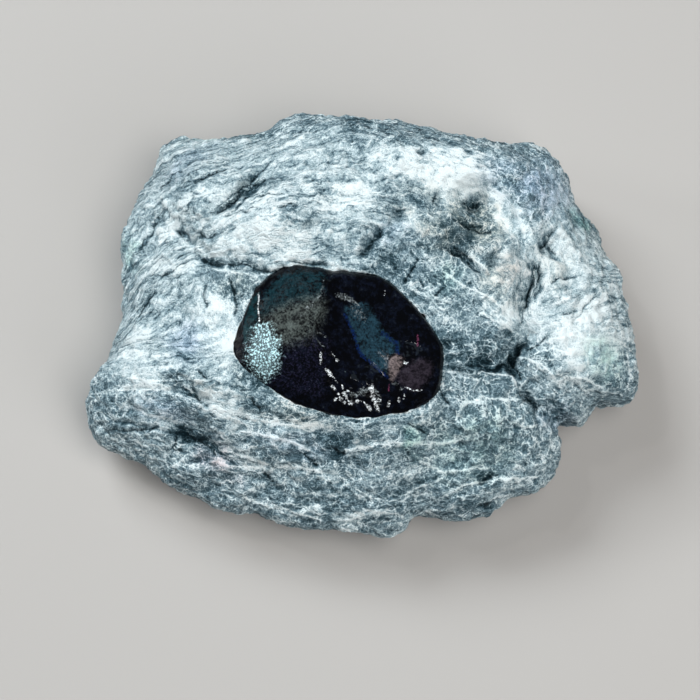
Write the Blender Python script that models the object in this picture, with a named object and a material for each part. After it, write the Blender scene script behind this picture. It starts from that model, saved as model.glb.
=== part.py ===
# Apache tear obsidian: a nodule of black volcanic glass in its lump of grey perlite.
# Metres, +Z up, +Y away from the viewer. The rock rests on its flat broken base at z = 0,
# and the origin is at the middle of that base. Sizes below are in millimetres.

import math

import bmesh
import bpy
from mathutils import Euler, Matrix, Vector, noise

MM = 0.001

# Driving size of the perlite lump: the whole specimen is drawn at about this length
# and then brought to it exactly, with the same proportions.
ROCK_LENGTH = 76.0
ROCK_DETAIL = 0.25          # share of the dense surface's triangles that stays

# Driving sizes of the nodule, as it shows at the surface of the rock.
NODULE_LENGTH = 28.1
NODULE_WIDTH = 20.6
NODULE_MIDDLE = (-3.0, -4.8)
NODULE_WAIST = 15.5         # height of its widest level
NODULE_CROWN = 26.4         # height of its top before the flakes came off
NODULE_FOOT = 5.6           # height of its lowest point, hidden in the rock
SOCKET_GAP = 0.35

# Broken outline of the lump seen from above, clockwise from the far left corner.
ROCK_OUTLINE = [
    (-28.3, 23.0), (-26.6, 24.6), (-19.8, 25.0), (-13.7, 25.7), (-9.0, 27.8), (-1.6, 27.4),
    (5.0, 26.4), (8.8, 25.2), (17.0, 23.7), (24.0, 22.9), (26.2, 21.6), (28.2, 19.2),
    (28.4, 16.6), (29.3, 14.4), (31.0, 12.4), (32.6, 9.2), (34.9, 5.2), (36.0, 0.0),
    (37.6, -5.9), (38.0, -8.5), (37.2, -10.8), (34.6, -12.0), (31.8, -11.8), (30.7, -13.1),
    (29.2, -14.9), (26.0, -14.3), (26.4, -17.4), (26.2, -20.0), (25.0, -22.2), (22.8, -23.8),
    (19.5, -24.6), (16.3, -26.1), (11.9, -27.5), (6.6, -27.0), (5.0, -28.9), (-1.6, -29.1),
    (-8.8, -28.8), (-16.8, -26.4), (-21.6, -24.4), (-26.4, -22.6), (-31.9, -19.4), (-35.8, -16.8),
    (-37.7, -13.5), (-38.0, -10.2), (-37.2, -7.8), (-35.3, -6.4), (-34.4, -3.4), (-33.2, 0.4),
    (-32.8, 5.4), (-33.9, 10.2), (-33.2, 12.9), (-31.7, 16.8), (-29.6, 20.0),
]

# Outline of the nodule where it leaves the rock, clockwise from its left end.
NODULE_OUTLINE = [
    (-17.4, -6.2), (-16.4, -3.9), (-15.7, -1.3), (-14.3, 1.9), (-12.4, 4.1), (-10.3, 5.3),
    (-7.8, 5.5), (-5.3, 4.9), (-2.2, 4.5), (0.6, 4.1), (3.4, 3.1), (5.7, 1.1),
    (7.8, -1.2), (9.7, -3.8), (10.7, -6.5), (10.5, -9.5), (9.4, -12.5), (6.9, -14.1),
    (3.5, -14.8), (-0.5, -15.1), (-4.5, -14.5), (-8.2, -13.5), (-11.4, -11.8), (-14.3, -9.7),
    (-16.4, -7.9),
]

# Heights of the upper surface at spots chosen over the lump: x, y, z.
SPOT_HEIGHTS = [
    (-28.0, 22.0, 19.0), (-14.0, 24.0, 22.0), (0.0, 25.0, 24.0), (12.0, 24.0, 26.0),
    (23.0, 22.0, 23.0), (-21.0, 15.0, 23.5), (-10.0, 11.5, 26.0), (0.0, 12.0, 25.5),
    (7.0, 17.0, 26.5), (14.0, 19.5, 27.5), (10.0, 9.5, 24.5), (16.0, 12.5, 21.5),
    (17.0, 5.0, 23.0), (25.0, 15.0, 23.5), (-30.0, 9.0, 18.5), (-27.0, 0.0, 18.5),
    (-20.0, 0.0, 21.5), (-23.0, 6.0, 19.5), (-28.0, 14.0, 20.5), (14.0, -1.0, 23.0),
    (20.5, 0.0, 21.5), (19.4, -7.4, 20.0), (26.0, 5.0, 22.5), (30.0, -3.0, 22.5),
    (34.5, -8.0, 19.0), (33.0, 6.0, 19.5), (14.0, -13.0, 21.5), (20.0, -15.0, 20.0),
    (22.0, -20.5, 17.0), (12.0, -22.0, 18.0), (-34.0, -11.0, 20.0), (-27.0, -11.5, 21.5),
    (-20.0, -13.5, 22.0), (-12.0, -16.5, 21.8), (-3.0, -17.5, 21.5), (5.0, -17.5, 21.5),
    (-27.0, -19.0, 17.0), (-14.0, -23.5, 16.5), (-4.0, -25.0, 16.0), (6.0, -24.0, 16.5),
    (-33.0, -16.0, 17.5),
]
SPOT_REACH = 4.2

# Rims by compass angle (0 is +X, counter-clockwise): angle, height of the widest level,
# squareness of the shoulder above it, and how far the side runs in below it.
RIM_STATIONS = [
    (0, 9.5, 2.9, 10.0), (28, 10.0, 3.2, 7.0), (45, 11.0, 3.4, 5.5), (75, 11.5, 3.2, 7.0),
    (105, 10.5, 3.0, 7.5), (135, 8.5, 2.9, 8.0), (165, 8.0, 2.7, 9.0), (195, 7.5, 2.5, 7.5),
    (225, 7.0, 2.2, 6.0), (255, 7.5, 2.0, 5.5), (285, 8.5, 2.2, 5.5), (315, 9.0, 2.6, 7.5),
    (340, 9.5, 3.0, 10.5),
]

# Height of the rock where the nodule comes out of it, by angle about the nodule.
LIP_STATIONS = [(0, 22.4), (45, 22.9), (80, 23.4), (120, 23.3), (160, 22.2), (200, 21.6),
                (240, 21.4), (280, 21.2), (320, 21.8)]
LIP_REACH = 3.6

# Broad low forms laid over the heights: x, y, half length, half width, turn, rise.
SWELLS = [
    (-19.6, -0.3, 4.2, 3.2, 60.0, 1.1),      # curl of the flow at the left of the nodule
    (-29.0, -4.0, 3.5, 5.0, 10.0, 0.8),
    (30.5, -2.0, 4.5, 9.0, -24.0, 1.2),      # right lobe
    (31.5, -9.5, 5.0, 2.6, 0.0, 0.8),
    (15.8, -15.3, 5.5, 4.0, 35.0, 1.0),
    (23.5, -18.5, 3.4, 3.2, 0.0, 0.9),
    (24.0, 16.5, 4.5, 3.8, -20.0, 1.4),      # far right block
    (18.3, 5.8, 1.8, 2.4, 20.0, 0.8),        # pale flake standing up
    (-8.0, -21.0, 10.0, 1.8, -9.0, 0.9),
    (3.5, -22.0, 4.0, 2.6, 10.0, 0.9),
    (-2.0, -26.5, 6.0, 2.0, 0.0, 1.0),       # step at the front foot
    (-31.5, -13.0, 4.2, 3.0, -12.0, 0.9),
    (6.5, 20.5, 9.0, 3.0, 2.0, 0.8),
    (-14.0, 19.5, 9.0, 2.2, 38.0, 0.9),
    (-22.0, 19.0, 7.0, 1.8, 42.0, 0.7),
    (-5.0, 15.5, 8.0, 1.6, 12.0, 0.6),
]

# Pits and hollows: x, y, half length, half width, turn, depth.
PITS = [
    (-23.4, -16.6, 3.2, 2.0, -35.0, 3.0),    # pit in the near left slope
    (-22.0, -19.4, 2.6, 1.2, 15.0, 1.4),
    (15.2, 13.6, 2.6, 2.0, 60.0, 2.4),       # deep brown hollow
    (12.4, 14.6, 1.8, 1.2, -30.0, 1.2),
    (14.0, 8.2, 2.2, 1.6, 20.0, 1.3),
    (-24.6, 10.9, 1.6, 1.2, 30.0, 1.3),
    (-14.6, 16.1, 3.0, 1.1, 42.0, 1.1),
    (-21.3, 10.0, 1.2, 1.0, 0.0, 1.0),
    (4.6, 11.2, 1.6, 1.2, 0.0, 0.9),
    (24.8, 8.4, 1.2, 1.6, 20.0, 1.2),
    (17.0, -22.0, 1.8, 1.3, 40.0, 1.1),
    (-2.8, -21.6, 1.8, 1.0, 0.0, 0.8),
    (10.8, -10.6, 0.9, 3.0, -20.0, 1.3),     # dark gap beside the onion skins
]

# Cracks and grooves: width, depth, and the points they run through.
CRACKS = [
    (0.9, 2.2, [(22.0, -4.0), (20.2, -6.0), (19.6, -7.6), (21.0, -9.8), (22.8, -12.0), (25.0, -14.2)]),
    (0.8, 1.2, [(14.4, -8.3), (17.1, -8.2), (19.6, -7.6)]),
    (0.8, 1.4, [(20.8, 6.8), (22.9, 5.1), (22.8, 3.2), (21.4, 1.1), (20.6, -1.2), (22.0, -4.0)]),
    (0.7, 1.1, [(12.0, 7.2), (14.5, 5.1), (16.4, 3.8)]),
    (0.7, 1.0, [(-24.3, -10.9), (-21.6, -13.0)]),
    (0.7, 1.0, [(-21.6, -17.4), (-19.6, -18.4), (-17.6, -20.0)]),
    (0.8, 0.8, [(-20.0, 12.4), (-16.2, 15.2), (-12.6, 18.8)]),
    (0.6, 0.7, [(0.3, 7.5), (2.2, 9.1), (4.6, 10.0)]),
    (0.8, 1.0, [(25.3, 8.3), (27.2, 5.6), (28.2, 2.0)]),
]

# Ledges: step height, how far the step runs back, and the foot of the step,
# drawn with the high side on the left hand.
LEDGES = [
    (2.3, 7.0, [(-24.0, 10.4), (-21.2, 6.9), (-19.1, 5.9), (-15.5, 5.7), (-11.9, 6.0)]),
    (1.1, 4.0, [(-35.0, -9.6), (-28.2, -10.2), (-22.9, -10.7), (-19.6, -12.4), (-16.2, -13.8)]),
    (0.9, 4.0, [(8.8, 7.8), (12.6, 7.6), (15.0, 6.0)]),
    (1.0, 4.5, [(18.6, 17.6), (20.4, 13.4), (20.8, 9.6)]),
]

# Hollow flake scars of the nodule, each the cut of a turned egg shape:
# x, y, half length, half width, half height, turn, height of the scar's floor.
NODULE_SCARS = [
    (2.3, -3.9, 9.2, 6.6, 6.4, -56.0, 22.6),      # large glossy scar right of the crest
    (-8.4, 2.2, 6.6, 3.4, 5.0, 12.0, 24.4),       # shallow satin scar at the far left
]
# Flat facets of the nodule: a point of the facet and the direction it faces.
NODULE_FACETS = [
    ((-8.6, 1.6, 25.6), (-0.20, 0.34, 1.0)),
    ((-13.6, -5.6, 24.2), (-0.55, -0.04, 1.0)),
    ((-8.6, -10.2, 24.6), (-0.20, -0.50, 1.0)),
    ((7.6, -10.8, 24.2), (0.34, -0.26, 1.0)),
    ((0.6, -12.9, 24.0), (0.02, -0.70, 1.0)),
    ((7.2, 0.6, 25.2), (0.40, 0.34, 1.0)),
]

# Flow bands of the lava, which sweep round the nodule like the lids of an eye.
BAND_STRETCH = 1.7
BAND_TURN_FAR = 22.0        # turn of the bands behind the nodule, degrees
BAND_TURN_NEAR = -12.0      # and in front of it

CHISEL_TURN = Euler((0.5, 0.9, 0.3)).to_matrix()
ROUND_COUNT = 190           # points round the lump
TOP_RINGS = 40
SIDE_RINGS = 14
BASE_RINGS = 3
UNDERSIDE = -0.8            # level of the underside before it is cut off flat at zero


def clear_scene():
    for item in list(bpy.data.objects):
        bpy.data.objects.remove(item, do_unlink=True)


def stone_material(name, colour, roughness):
    material = bpy.data.materials.new(name)
    material.use_nodes = True
    shader = material.node_tree.nodes["Principled BSDF"]
    shader.inputs["Base Color"].default_value = (*colour, 1.0)
    shader.inputs["Roughness"].default_value = roughness
    shader.inputs["Metallic"].default_value = 0.0
    return material


def closed_curve(points, count):
    # Smooth closed line through the points, resampled at even steps.
    dense = []
    total = len(points)
    for index in range(total):
        p0, p1, p2, p3 = (Vector(points[(index + shift) % total]) for shift in (-1, 0, 1, 2))
        for step in range(8):
            t = step / 8
            dense.append(0.5 * ((2 * p1) + (p2 - p0) * t + (2 * p0 - 5 * p1 + 4 * p2 - p3) * t ** 2
                                + (3 * p1 - p0 - 3 * p2 + p3) * t ** 3))
    lengths = [0.0]
    for index, point in enumerate(dense):
        lengths.append(lengths[-1] + (dense[(index + 1) % len(dense)] - point).length)
    result = []
    index = 0
    for number in range(count):
        target = lengths[-1] * number / count
        while lengths[index + 1] < target:
            index += 1
        share = (target - lengths[index]) / max(lengths[index + 1] - lengths[index], 1e-9)
        result.append(dense[index].lerp(dense[(index + 1) % len(dense)], share))
    return result


def station_value(stations, angle, column):
    # Value at a compass angle, eased between the stations around the circle.
    angle %= 360
    count = len(stations)
    for index in range(count):
        start = stations[index]
        end = stations[(index + 1) % count]
        span = (end[0] - start[0]) % 360
        offset = (angle - start[0]) % 360
        if offset < span:
            share = offset / span
            share = share * share * (3 - 2 * share)
            return start[column] + (end[column] - start[column]) * share
    return stations[0][column]


def nodule_reach(angle_table, x, y):
    # Distance from the nodule's middle to its outline in the direction of x, y.
    angle = math.atan2(y - NODULE_MIDDLE[1], x - NODULE_MIDDLE[0]) % math.tau
    step = angle / math.tau * len(angle_table)
    low = int(step) % len(angle_table)
    share = step - int(step)
    return angle_table[low] * (1 - share) + angle_table[(low + 1) % len(angle_table)] * share


def outline_table(points, middle, count=180):
    # Radius of a closed outline for even angles about its middle.
    curve = closed_curve(points, 720)
    polar = sorted(((math.atan2(p.y - middle[1], p.x - middle[0]) % math.tau),
                    math.hypot(p.x - middle[0], p.y - middle[1])) for p in curve)
    table = []
    for number in range(count):
        angle = math.tau * number / count
        nearest = min(polar, key=lambda item: abs((item[0] - angle + math.pi) % math.tau - math.pi))
        table.append(nearest[1])
    return table


def local_frame(x, y, form):
    # Place of x, y in a turned oval form, in units of its half sizes.
    turn = math.radians(form[4])
    dx = x - form[0]
    dy = y - form[1]
    along = (dx * math.cos(turn) + dy * math.sin(turn)) / form[2]
    across = (dy * math.cos(turn) - dx * math.sin(turn)) / form[3]
    return along, across


def line_place(x, y, points):
    # Distance to a broken line, and the side: positive is on the left hand.
    best = 1e9
    side = 0.0
    for start, end in zip(points, points[1:]):
        ex = end[0] - start[0]
        ey = end[1] - start[1]
        length = math.hypot(ex, ey)
        share = min(1.0, max(0.0, ((x - start[0]) * ex + (y - start[1]) * ey) / length ** 2))
        gap = math.hypot(x - start[0] - ex * share, y - start[1] - ey * share)
        if gap < best:
            best = gap
            side = (ex * (y - start[1]) - ey * (x - start[0])) / length
    return best, side


def spot_height(x, y):
    weight_sum = 0.0
    height_sum = 0.0
    for spot_x, spot_y, height in SPOT_HEIGHTS:
        gap = (x - spot_x) ** 2 + (y - spot_y) ** 2
        weight = 1.0 / (gap + SPOT_REACH ** 2) ** 2
        weight_sum += weight
        height_sum += weight * height
    return height_sum / weight_sum


def upper_surface(x, y, nodule_table):
    height = spot_height(x, y)
    for form in SWELLS:
        along, across = local_frame(x, y, form)
        height += form[5] * math.exp(-along ** 2 - across ** 2)
    for step, run_back, points in LEDGES:
        gap, side = line_place(x, y, points)
        rise = 1 / (1 + math.exp(-side / 0.35))
        height += step * rise * math.exp(-(gap / run_back) ** 2)
        height -= 0.5 * step * math.exp(-((side + 0.7) / 0.8) ** 2 - (gap / 2.2) ** 2)
    # The rock closes round the nodule at the lip's own height.
    angle = math.degrees(math.atan2(y - NODULE_MIDDLE[1], x - NODULE_MIDDLE[0]))
    distance = math.hypot(x - NODULE_MIDDLE[0], y - NODULE_MIDDLE[1])
    beyond = max(0.0, distance - nodule_reach(nodule_table, x, y))
    hold = math.exp(-(beyond / LIP_REACH) ** 2)
    height += (station_value(LIP_STATIONS, angle, 1) - height) * hold
    for form in PITS:
        along, across = local_frame(x, y, form)
        height -= form[5] * math.exp(-(along ** 2 + across ** 2) ** 1.3)
    for width, depth, points in CRACKS:
        gap, side = line_place(x, y, points)
        height -= depth * math.exp(-(gap / width) ** 2)
    return height


def flow_bands(x, y):
    # Angle about the nodule and the level of the band, both for the stretched, turned ovals.
    dx = x - NODULE_MIDDLE[0]
    dy = y - NODULE_MIDDLE[1]
    share = 0.5 + 0.5 * math.tanh(dy / 8.0)
    turn = math.radians(BAND_TURN_NEAR + (BAND_TURN_FAR - BAND_TURN_NEAR) * share)
    along = (dx * math.cos(turn) + dy * math.sin(turn)) / BAND_STRETCH
    across = dy * math.cos(turn) - dx * math.sin(turn)
    return math.atan2(across, along), math.hypot(along, across)


def creased(place):
    # Rounded cells that meet in sharp valleys, from -0.5 to 0.5.
    nearest = noise.voronoi(place)[0]
    return min(1.0, 1.6 * (nearest[1] - nearest[0])) - 0.5


def chiselled(place):
    # Flat broken faces that meet in sharp corners, from about -0.5 to 0.5.
    turned = CHISEL_TURN @ place
    return 0.45 - noise.voronoi(turned, distance_metric="CHEBYCHEV")[0][0]


def rock_relief(place, steepness):
    # Relief of broken perlite: flow bands and lumps above, flat broken faces on the sides.
    angle, level = flow_bands(place.x, place.y)
    band = Vector((math.cos(angle) * 1.7, math.sin(angle) * 1.7, level / 2.5 + place.z / 12.0))
    relief = 0.45 * creased(place / 6.5 + Vector((3.1, 1.7, 0.4)))
    relief += 0.25 * creased(place / 3.1 + Vector((8.3, 4.4, 2.2)))
    relief += 0.50 * creased(band) * (1.0 - steepness)
    relief += (0.8 + 1.9 * steepness) * chiselled(place / 8.5)
    relief += (0.4 + 0.5 * steepness) * chiselled(place / 4.2 + Vector((5.5, 0.3, 7.7)))
    relief += 0.7 * noise.noise(place / 9.0)
    return relief


def rock_profile(rim, radius_share, height, rim_height, squareness):
    lift = (1 - min(1.0, radius_share) ** squareness) ** (1 / squareness)
    return rim_height + (height - rim_height) * lift


def build_rock_mesh(nodule_table):
    rim = closed_curve(ROCK_OUTLINE, ROUND_COUNT)
    heart = Vector(NODULE_MIDDLE)
    mesh = bmesh.new()
    rings = []
    top = mesh.verts.new((heart.x, heart.y, upper_surface(heart.x, heart.y, nodule_table)))
    for ring_number in range(1, TOP_RINGS + 1):
        # Rings crowd towards the rim, where the surface turns down.
        share = math.sin(ring_number / TOP_RINGS * math.pi / 2) ** 0.9
        ring = []
        for point in rim:
            flat = heart.lerp(point, share)
            angle = math.degrees(math.atan2(point.y, point.x))
            height = rock_profile(point, share, upper_surface(flat.x, flat.y, nodule_table),
                                  station_value(RIM_STATIONS, angle, 1),
                                  station_value(RIM_STATIONS, angle, 2))
            ring.append(mesh.verts.new((flat.x, flat.y, height)))
        rings.append(ring)
    for ring_number in range(1, SIDE_RINGS + BASE_RINGS + 1):
        ring = []
        for point in rim:
            angle = math.degrees(math.atan2(point.y, point.x))
            inset = station_value(RIM_STATIONS, angle, 3)
            rim_height = station_value(RIM_STATIONS, angle, 1)
            outward = point.normalized()
            if ring_number <= SIDE_RINGS:
                turn = ring_number / SIDE_RINGS * math.pi / 2
                flat = point - outward * inset * (1 - math.cos(turn))
                height = rim_height - (rim_height - UNDERSIDE) * math.sin(turn) ** 1.15
            else:
                flat = (point - outward * inset) * (1 - (ring_number - SIDE_RINGS) / (BASE_RINGS + 1))
                height = UNDERSIDE
            ring.append(mesh.verts.new((flat.x, flat.y, height)))
        rings.append(ring)
    bottom = mesh.verts.new((0.0, 0.0, UNDERSIDE))
    for number in range(ROUND_COUNT):
        after = (number + 1) % ROUND_COUNT
        mesh.faces.new((top, rings[0][number], rings[0][after]))
        mesh.faces.new((bottom, rings[-1][after], rings[-1][number]))
        for inner, outer in zip(rings, rings[1:]):
            mesh.faces.new((inner[number], outer[number], outer[after], inner[after]))
    bmesh.ops.recalc_face_normals(mesh, faces=mesh.faces)
    roughen(mesh, rings, nodule_table)
    return mesh


def roughen(mesh, rings, nodule_table):
    # The relief lifts the upper surface straight up and pushes the sides straight out,
    # so it never folds the surface over itself. Under the nodule it fades away.
    moves = []
    for number, ring in enumerate(rings):
        steepness = min(1.0, (number + 1) / TOP_RINGS) ** 9
        for vert in ring:
            outward = Vector((vert.co.x, vert.co.y, 0.0)).normalized()
            direction = outward * steepness + Vector((0.0, 0.0, 1.0 - steepness))
            distance = math.hypot(vert.co.x - NODULE_MIDDLE[0], vert.co.y - NODULE_MIDDLE[1])
            beyond = distance - nodule_reach(nodule_table, vert.co.x, vert.co.y)
            fade = min(1.0, max(0.0, beyond / 2.5))
            moves.append((vert, direction.normalized() * rock_relief(vert.co, steepness) * fade))
    for vert, move in moves:
        vert.co += move


def nodule_share(level):
    # Share of the nodule's full radius at a level from -1 (foot) over 0 (waist) to 1 (crown).
    power = 3.4 if level > 0 else 2.1
    return (1 - abs(level) ** power) ** (1 / power)


def build_nodule_mesh(table, grow, around=50, rings=18):
    # Its outline is stated for the lip of the rock, so it swells from there down to the waist.
    mesh = bmesh.new()
    waist = []
    for number in range(around):
        lip = station_value(LIP_STATIONS, 360 * number / around, 1)
        exit_share = nodule_share((lip - NODULE_WAIST) / (NODULE_CROWN - NODULE_WAIST))
        waist.append(table[int(number / around * len(table))] / exit_share)
    loops = []
    foot = mesh.verts.new((NODULE_MIDDLE[0], NODULE_MIDDLE[1], NODULE_FOOT - grow))
    for ring_number in range(1, rings):
        level = -math.cos(ring_number / rings * math.pi)
        reach = NODULE_CROWN - NODULE_WAIST if level > 0 else NODULE_WAIST - NODULE_FOOT
        share = nodule_share(level)
        loop = []
        for number in range(around):
            angle = math.tau * number / around
            radius = (waist[number] + grow) * share
            loop.append(mesh.verts.new((NODULE_MIDDLE[0] + radius * math.cos(angle),
                                        NODULE_MIDDLE[1] + radius * math.sin(angle),
                                        NODULE_WAIST + level * (reach + grow))))
        loops.append(loop)
    crown = mesh.verts.new((NODULE_MIDDLE[0], NODULE_MIDDLE[1], NODULE_CROWN + grow))
    for number in range(around):
        after = (number + 1) % around
        mesh.faces.new((foot, loops[0][after], loops[0][number]))
        mesh.faces.new((crown, loops[-1][number], loops[-1][after]))
        for low, high in zip(loops, loops[1:]):
            mesh.faces.new((low[number], low[after], high[after], high[number]))
    return mesh


def as_object(name, mesh, placement):
    # Millimetres become metres, with the whole specimen centred over its base.
    bmesh.ops.transform(mesh, matrix=Matrix.Scale(MM, 4) @ placement, verts=mesh.verts)
    data = bpy.data.meshes.new(name)
    mesh.to_mesh(data)
    mesh.free()
    item = bpy.data.objects.new(name, data)
    bpy.context.scene.collection.objects.link(item)
    return item


def as_cutter(item):
    item.hide_render = True
    item.display_type = "WIRE"
    return item


def cut(item, cutter):
    step = item.modifiers.new("cut by " + cutter.name, "BOOLEAN")
    step.operation = "DIFFERENCE"
    step.object = cutter


def scar_cutter(name, scar, placement):
    mesh = bmesh.new()
    bmesh.ops.create_icosphere(mesh, subdivisions=4, radius=1.0)
    bmesh.ops.scale(mesh, vec=(scar[2], scar[3], scar[4]), verts=mesh.verts)
    bmesh.ops.rotate(mesh, matrix=Matrix.Rotation(math.radians(scar[5]), 3, "Z"), verts=mesh.verts)
    bmesh.ops.translate(mesh, vec=(scar[0], scar[1], scar[6] + scar[4]), verts=mesh.verts)
    return as_cutter(as_object(name, mesh, placement))


def facet_cutter(name, facet, placement):
    mesh = bmesh.new()
    bmesh.ops.create_cube(mesh, size=30.0)
    bmesh.ops.translate(mesh, vec=(0.0, 0.0, 15.0), verts=mesh.verts)
    turn = Vector((0.0, 0.0, 1.0)).rotation_difference(Vector(facet[1]).normalized())
    bmesh.ops.transform(mesh, matrix=Matrix.Translation(facet[0]) @ turn.to_matrix().to_4x4(),
                        verts=mesh.verts)
    return as_cutter(as_object(name, mesh, placement))


def ground_cutter():
    # Everything below z = 0 goes, which leaves the flat base.
    mesh = bmesh.new()
    bmesh.ops.create_cube(mesh, size=1.0)
    bmesh.ops.scale(mesh, vec=(2 * ROCK_LENGTH, 2 * ROCK_LENGTH, 10.0), verts=mesh.verts)
    bmesh.ops.translate(mesh, vec=(0.0, 0.0, -5.0), verts=mesh.verts)
    return as_cutter(as_object("ground_plane_cutter", mesh, Matrix.Identity(4)))


def fitted(points, length, width):
    # The outline brought to the stated length and width about its own middle.
    xs = [point[0] for point in points]
    ys = [point[1] for point in points]
    middle = ((min(xs) + max(xs)) / 2, (min(ys) + max(ys)) / 2)
    return [(middle[0] + (x - middle[0]) * length / (max(xs) - min(xs)),
             middle[1] + (y - middle[1]) * width / (max(ys) - min(ys))) for x, y in points]


def centring(mesh):
    # Brings the lump to its driving length and its middle over the origin.
    xs = [vert.co.x for vert in mesh.verts]
    ys = [vert.co.y for vert in mesh.verts]
    middle = Vector(((min(xs) + max(xs)) / 2, (min(ys) + max(ys)) / 2, 0.0))
    return Matrix.Scale(ROCK_LENGTH / (max(xs) - min(xs)), 4) @ Matrix.Translation(-middle)


def build_specimen():
    nodule_table = outline_table(fitted(NODULE_OUTLINE, NODULE_LENGTH, NODULE_WIDTH), NODULE_MIDDLE)
    rock_mesh = build_rock_mesh(nodule_table)
    placement = centring(rock_mesh)

    rock = as_object("perlite_matrix", rock_mesh, placement)
    rock.data.materials.append(stone_material("perlite", (0.42, 0.47, 0.49), 0.82))
    thin = rock.modifiers.new("thin out", "DECIMATE")
    thin.ratio = ROCK_DETAIL
    cut(rock, ground_cutter())
    socket_mesh = build_nodule_mesh(nodule_table, SOCKET_GAP)
    cut(rock, as_cutter(as_object("socket_cutter", socket_mesh, placement)))

    nodule = as_object("obsidian_nodule", build_nodule_mesh(nodule_table, 0.0), placement)
    nodule.data.materials.append(stone_material("obsidian", (0.012, 0.013, 0.016), 0.16))
    for number, scar in enumerate(NODULE_SCARS):
        cut(nodule, scar_cutter(f"scar_cutter_{number}", scar, placement))
    for number, facet in enumerate(NODULE_FACETS):
        cut(nodule, facet_cutter(f"facet_cutter_{number}", facet, placement))
    nodule.data.shade_smooth()


clear_scene()
build_specimen()
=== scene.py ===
import math

import bpy
import numpy as np
from mathutils import Euler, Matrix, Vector, noise


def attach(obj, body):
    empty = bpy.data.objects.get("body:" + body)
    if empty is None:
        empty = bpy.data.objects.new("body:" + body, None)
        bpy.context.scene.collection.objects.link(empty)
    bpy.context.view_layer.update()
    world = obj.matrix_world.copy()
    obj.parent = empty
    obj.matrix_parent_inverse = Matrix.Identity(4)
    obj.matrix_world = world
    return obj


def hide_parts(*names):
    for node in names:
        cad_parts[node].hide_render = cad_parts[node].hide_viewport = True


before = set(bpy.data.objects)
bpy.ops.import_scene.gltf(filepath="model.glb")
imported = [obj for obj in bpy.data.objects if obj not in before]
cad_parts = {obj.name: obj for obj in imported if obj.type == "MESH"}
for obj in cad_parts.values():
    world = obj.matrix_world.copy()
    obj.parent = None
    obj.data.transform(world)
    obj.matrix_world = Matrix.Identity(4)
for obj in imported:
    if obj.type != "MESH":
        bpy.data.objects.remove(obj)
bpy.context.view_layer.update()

mm = 0.001
ovalEdge = 1.4                  # squareness of a soft oval's edge

# camera, as the specimen was looked at: almost straight down, from the near side
cameraView = {
    "elevation": 78.0,
    "distance": 0.400,
    "frameWidth": 0.0965,       # what 700 pixels span at the specimen
    "aim": (-0.0016, -0.0030, 0.0074),
    "sensor": 36.0,
    "clipStart": 0.01,
}

studio = {
    "floorSize": 4.0,
    "floorHeight": -0.00002,
    "floorColour": (0.42, 0.405, 0.39),
    "floorRoughness": 0.9,
    "worldColour": (0.78, 0.86, 0.92),
    "worldStrength": 0.06,
    # name: place, aim, width, depth, watts, colour, whether the glass mirrors it
    "lamps": {
        "windowLamp": ((-0.30, 0.34, 0.46), (0, 0, 0.02), 0.34, 0.26, 3.3, (0.94, 0.98, 1.0), False),
        "skyLamp": ((0.16, -0.10, 0.60), (0, 0, 0.02), 0.36, 0.36, 2.6, (1.0, 0.985, 0.96), False),
        "sideLamp": ((-0.52, 0.09, 0.30), (0, 0, 0.02), 0.10, 0.10, 0.5, (0.94, 0.98, 1.0), True),
        "fillLamp": ((0.38, -0.34, 0.36), (0, 0, 0.02), 0.40, 0.40, 1.2, (0.97, 0.98, 1.0), False),
        "sheenPanel": ((-0.24, 0.30, 0.50), (0, 0, 0.02), 0.30, 0.24, 0.30, (0.62, 0.84, 1.0), True),
        "glintLamp": ((-0.20, 0.16, 0.55), (0, 0, 0.02), 0.035, 0.035, 0.20, (1.0, 1.0, 1.0), True),
    },
}


def deselectAll():
    if bpy.context.object and bpy.context.object.mode != "OBJECT":
        bpy.ops.object.mode_set(mode="OBJECT")
    bpy.ops.object.select_all(action="DESELECT")


def makeActive(piece):
    deselectAll()
    piece.select_set(True)
    bpy.context.view_layer.objects.active = piece


def applyModifier(piece, kind, **settings):
    makeActive(piece)
    modifier = piece.modifiers.new(kind.lower(), kind)
    for key, value in settings.items():
        setattr(modifier, key, value)
    bpy.ops.object.modifier_apply(modifier=modifier.name)


def readVectors(items, name):
    values = np.empty(len(items) * 3, np.float32)
    items.foreach_get(name, values)
    return values.reshape(-1, 3).astype(float)


def writePoints(mesh, points):
    mesh.vertices.foreach_set("co", points.astype(np.float32).ravel())
    mesh.update()


def readEdges(mesh):
    edges = np.empty(len(mesh.edges) * 2, np.int32)
    mesh.edges.foreach_get("vertices", edges)
    return edges.reshape(-1, 2)


def spread(values, edges, rounds):
    # each point moves half way to the mean of its neighbours, a number of times over
    count = np.bincount(edges.ravel(), minlength=len(values)).astype(float)
    flat = values.reshape(len(values), -1).copy()
    for _ in range(rounds):
        total = np.zeros_like(flat)
        for column in range(flat.shape[1]):
            total[:, column] += np.bincount(edges[:, 0], flat[edges[:, 1], column], len(flat))
            total[:, column] += np.bincount(edges[:, 1], flat[edges[:, 0], column], len(flat))
        flat = 0.5 * flat + 0.5 * total / count[:, None]
    return flat.reshape(values.shape)


def writeMask(mesh, name, values):
    layer = mesh.attributes.new(name, "FLOAT", "POINT")
    layer.data.foreach_set("value", np.asarray(values, np.float32))


def noiseAt(points, size, offset=0.0):
    # smooth noise of a given grain size at each point, about -0.6 to 0.6
    shift = Vector((offset, 2 * offset, -offset))
    return np.array([noise.noise(Vector(point) / size + shift) for point in points])


def eased(value, low, high):
    share = np.clip((value - low) / (high - low), 0.0, 1.0)
    return share * share * (3 - 2 * share)


def ovalPlace(x, y, oval):
    # place in a turned oval, in units of its half sizes
    turn = math.radians(oval[4])
    dx = x - oval[0]
    dy = y - oval[1]
    along = (dx * math.cos(turn) + dy * math.sin(turn)) / oval[2]
    across = (dy * math.cos(turn) - dx * math.sin(turn)) / oval[3]
    return along, across


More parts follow.
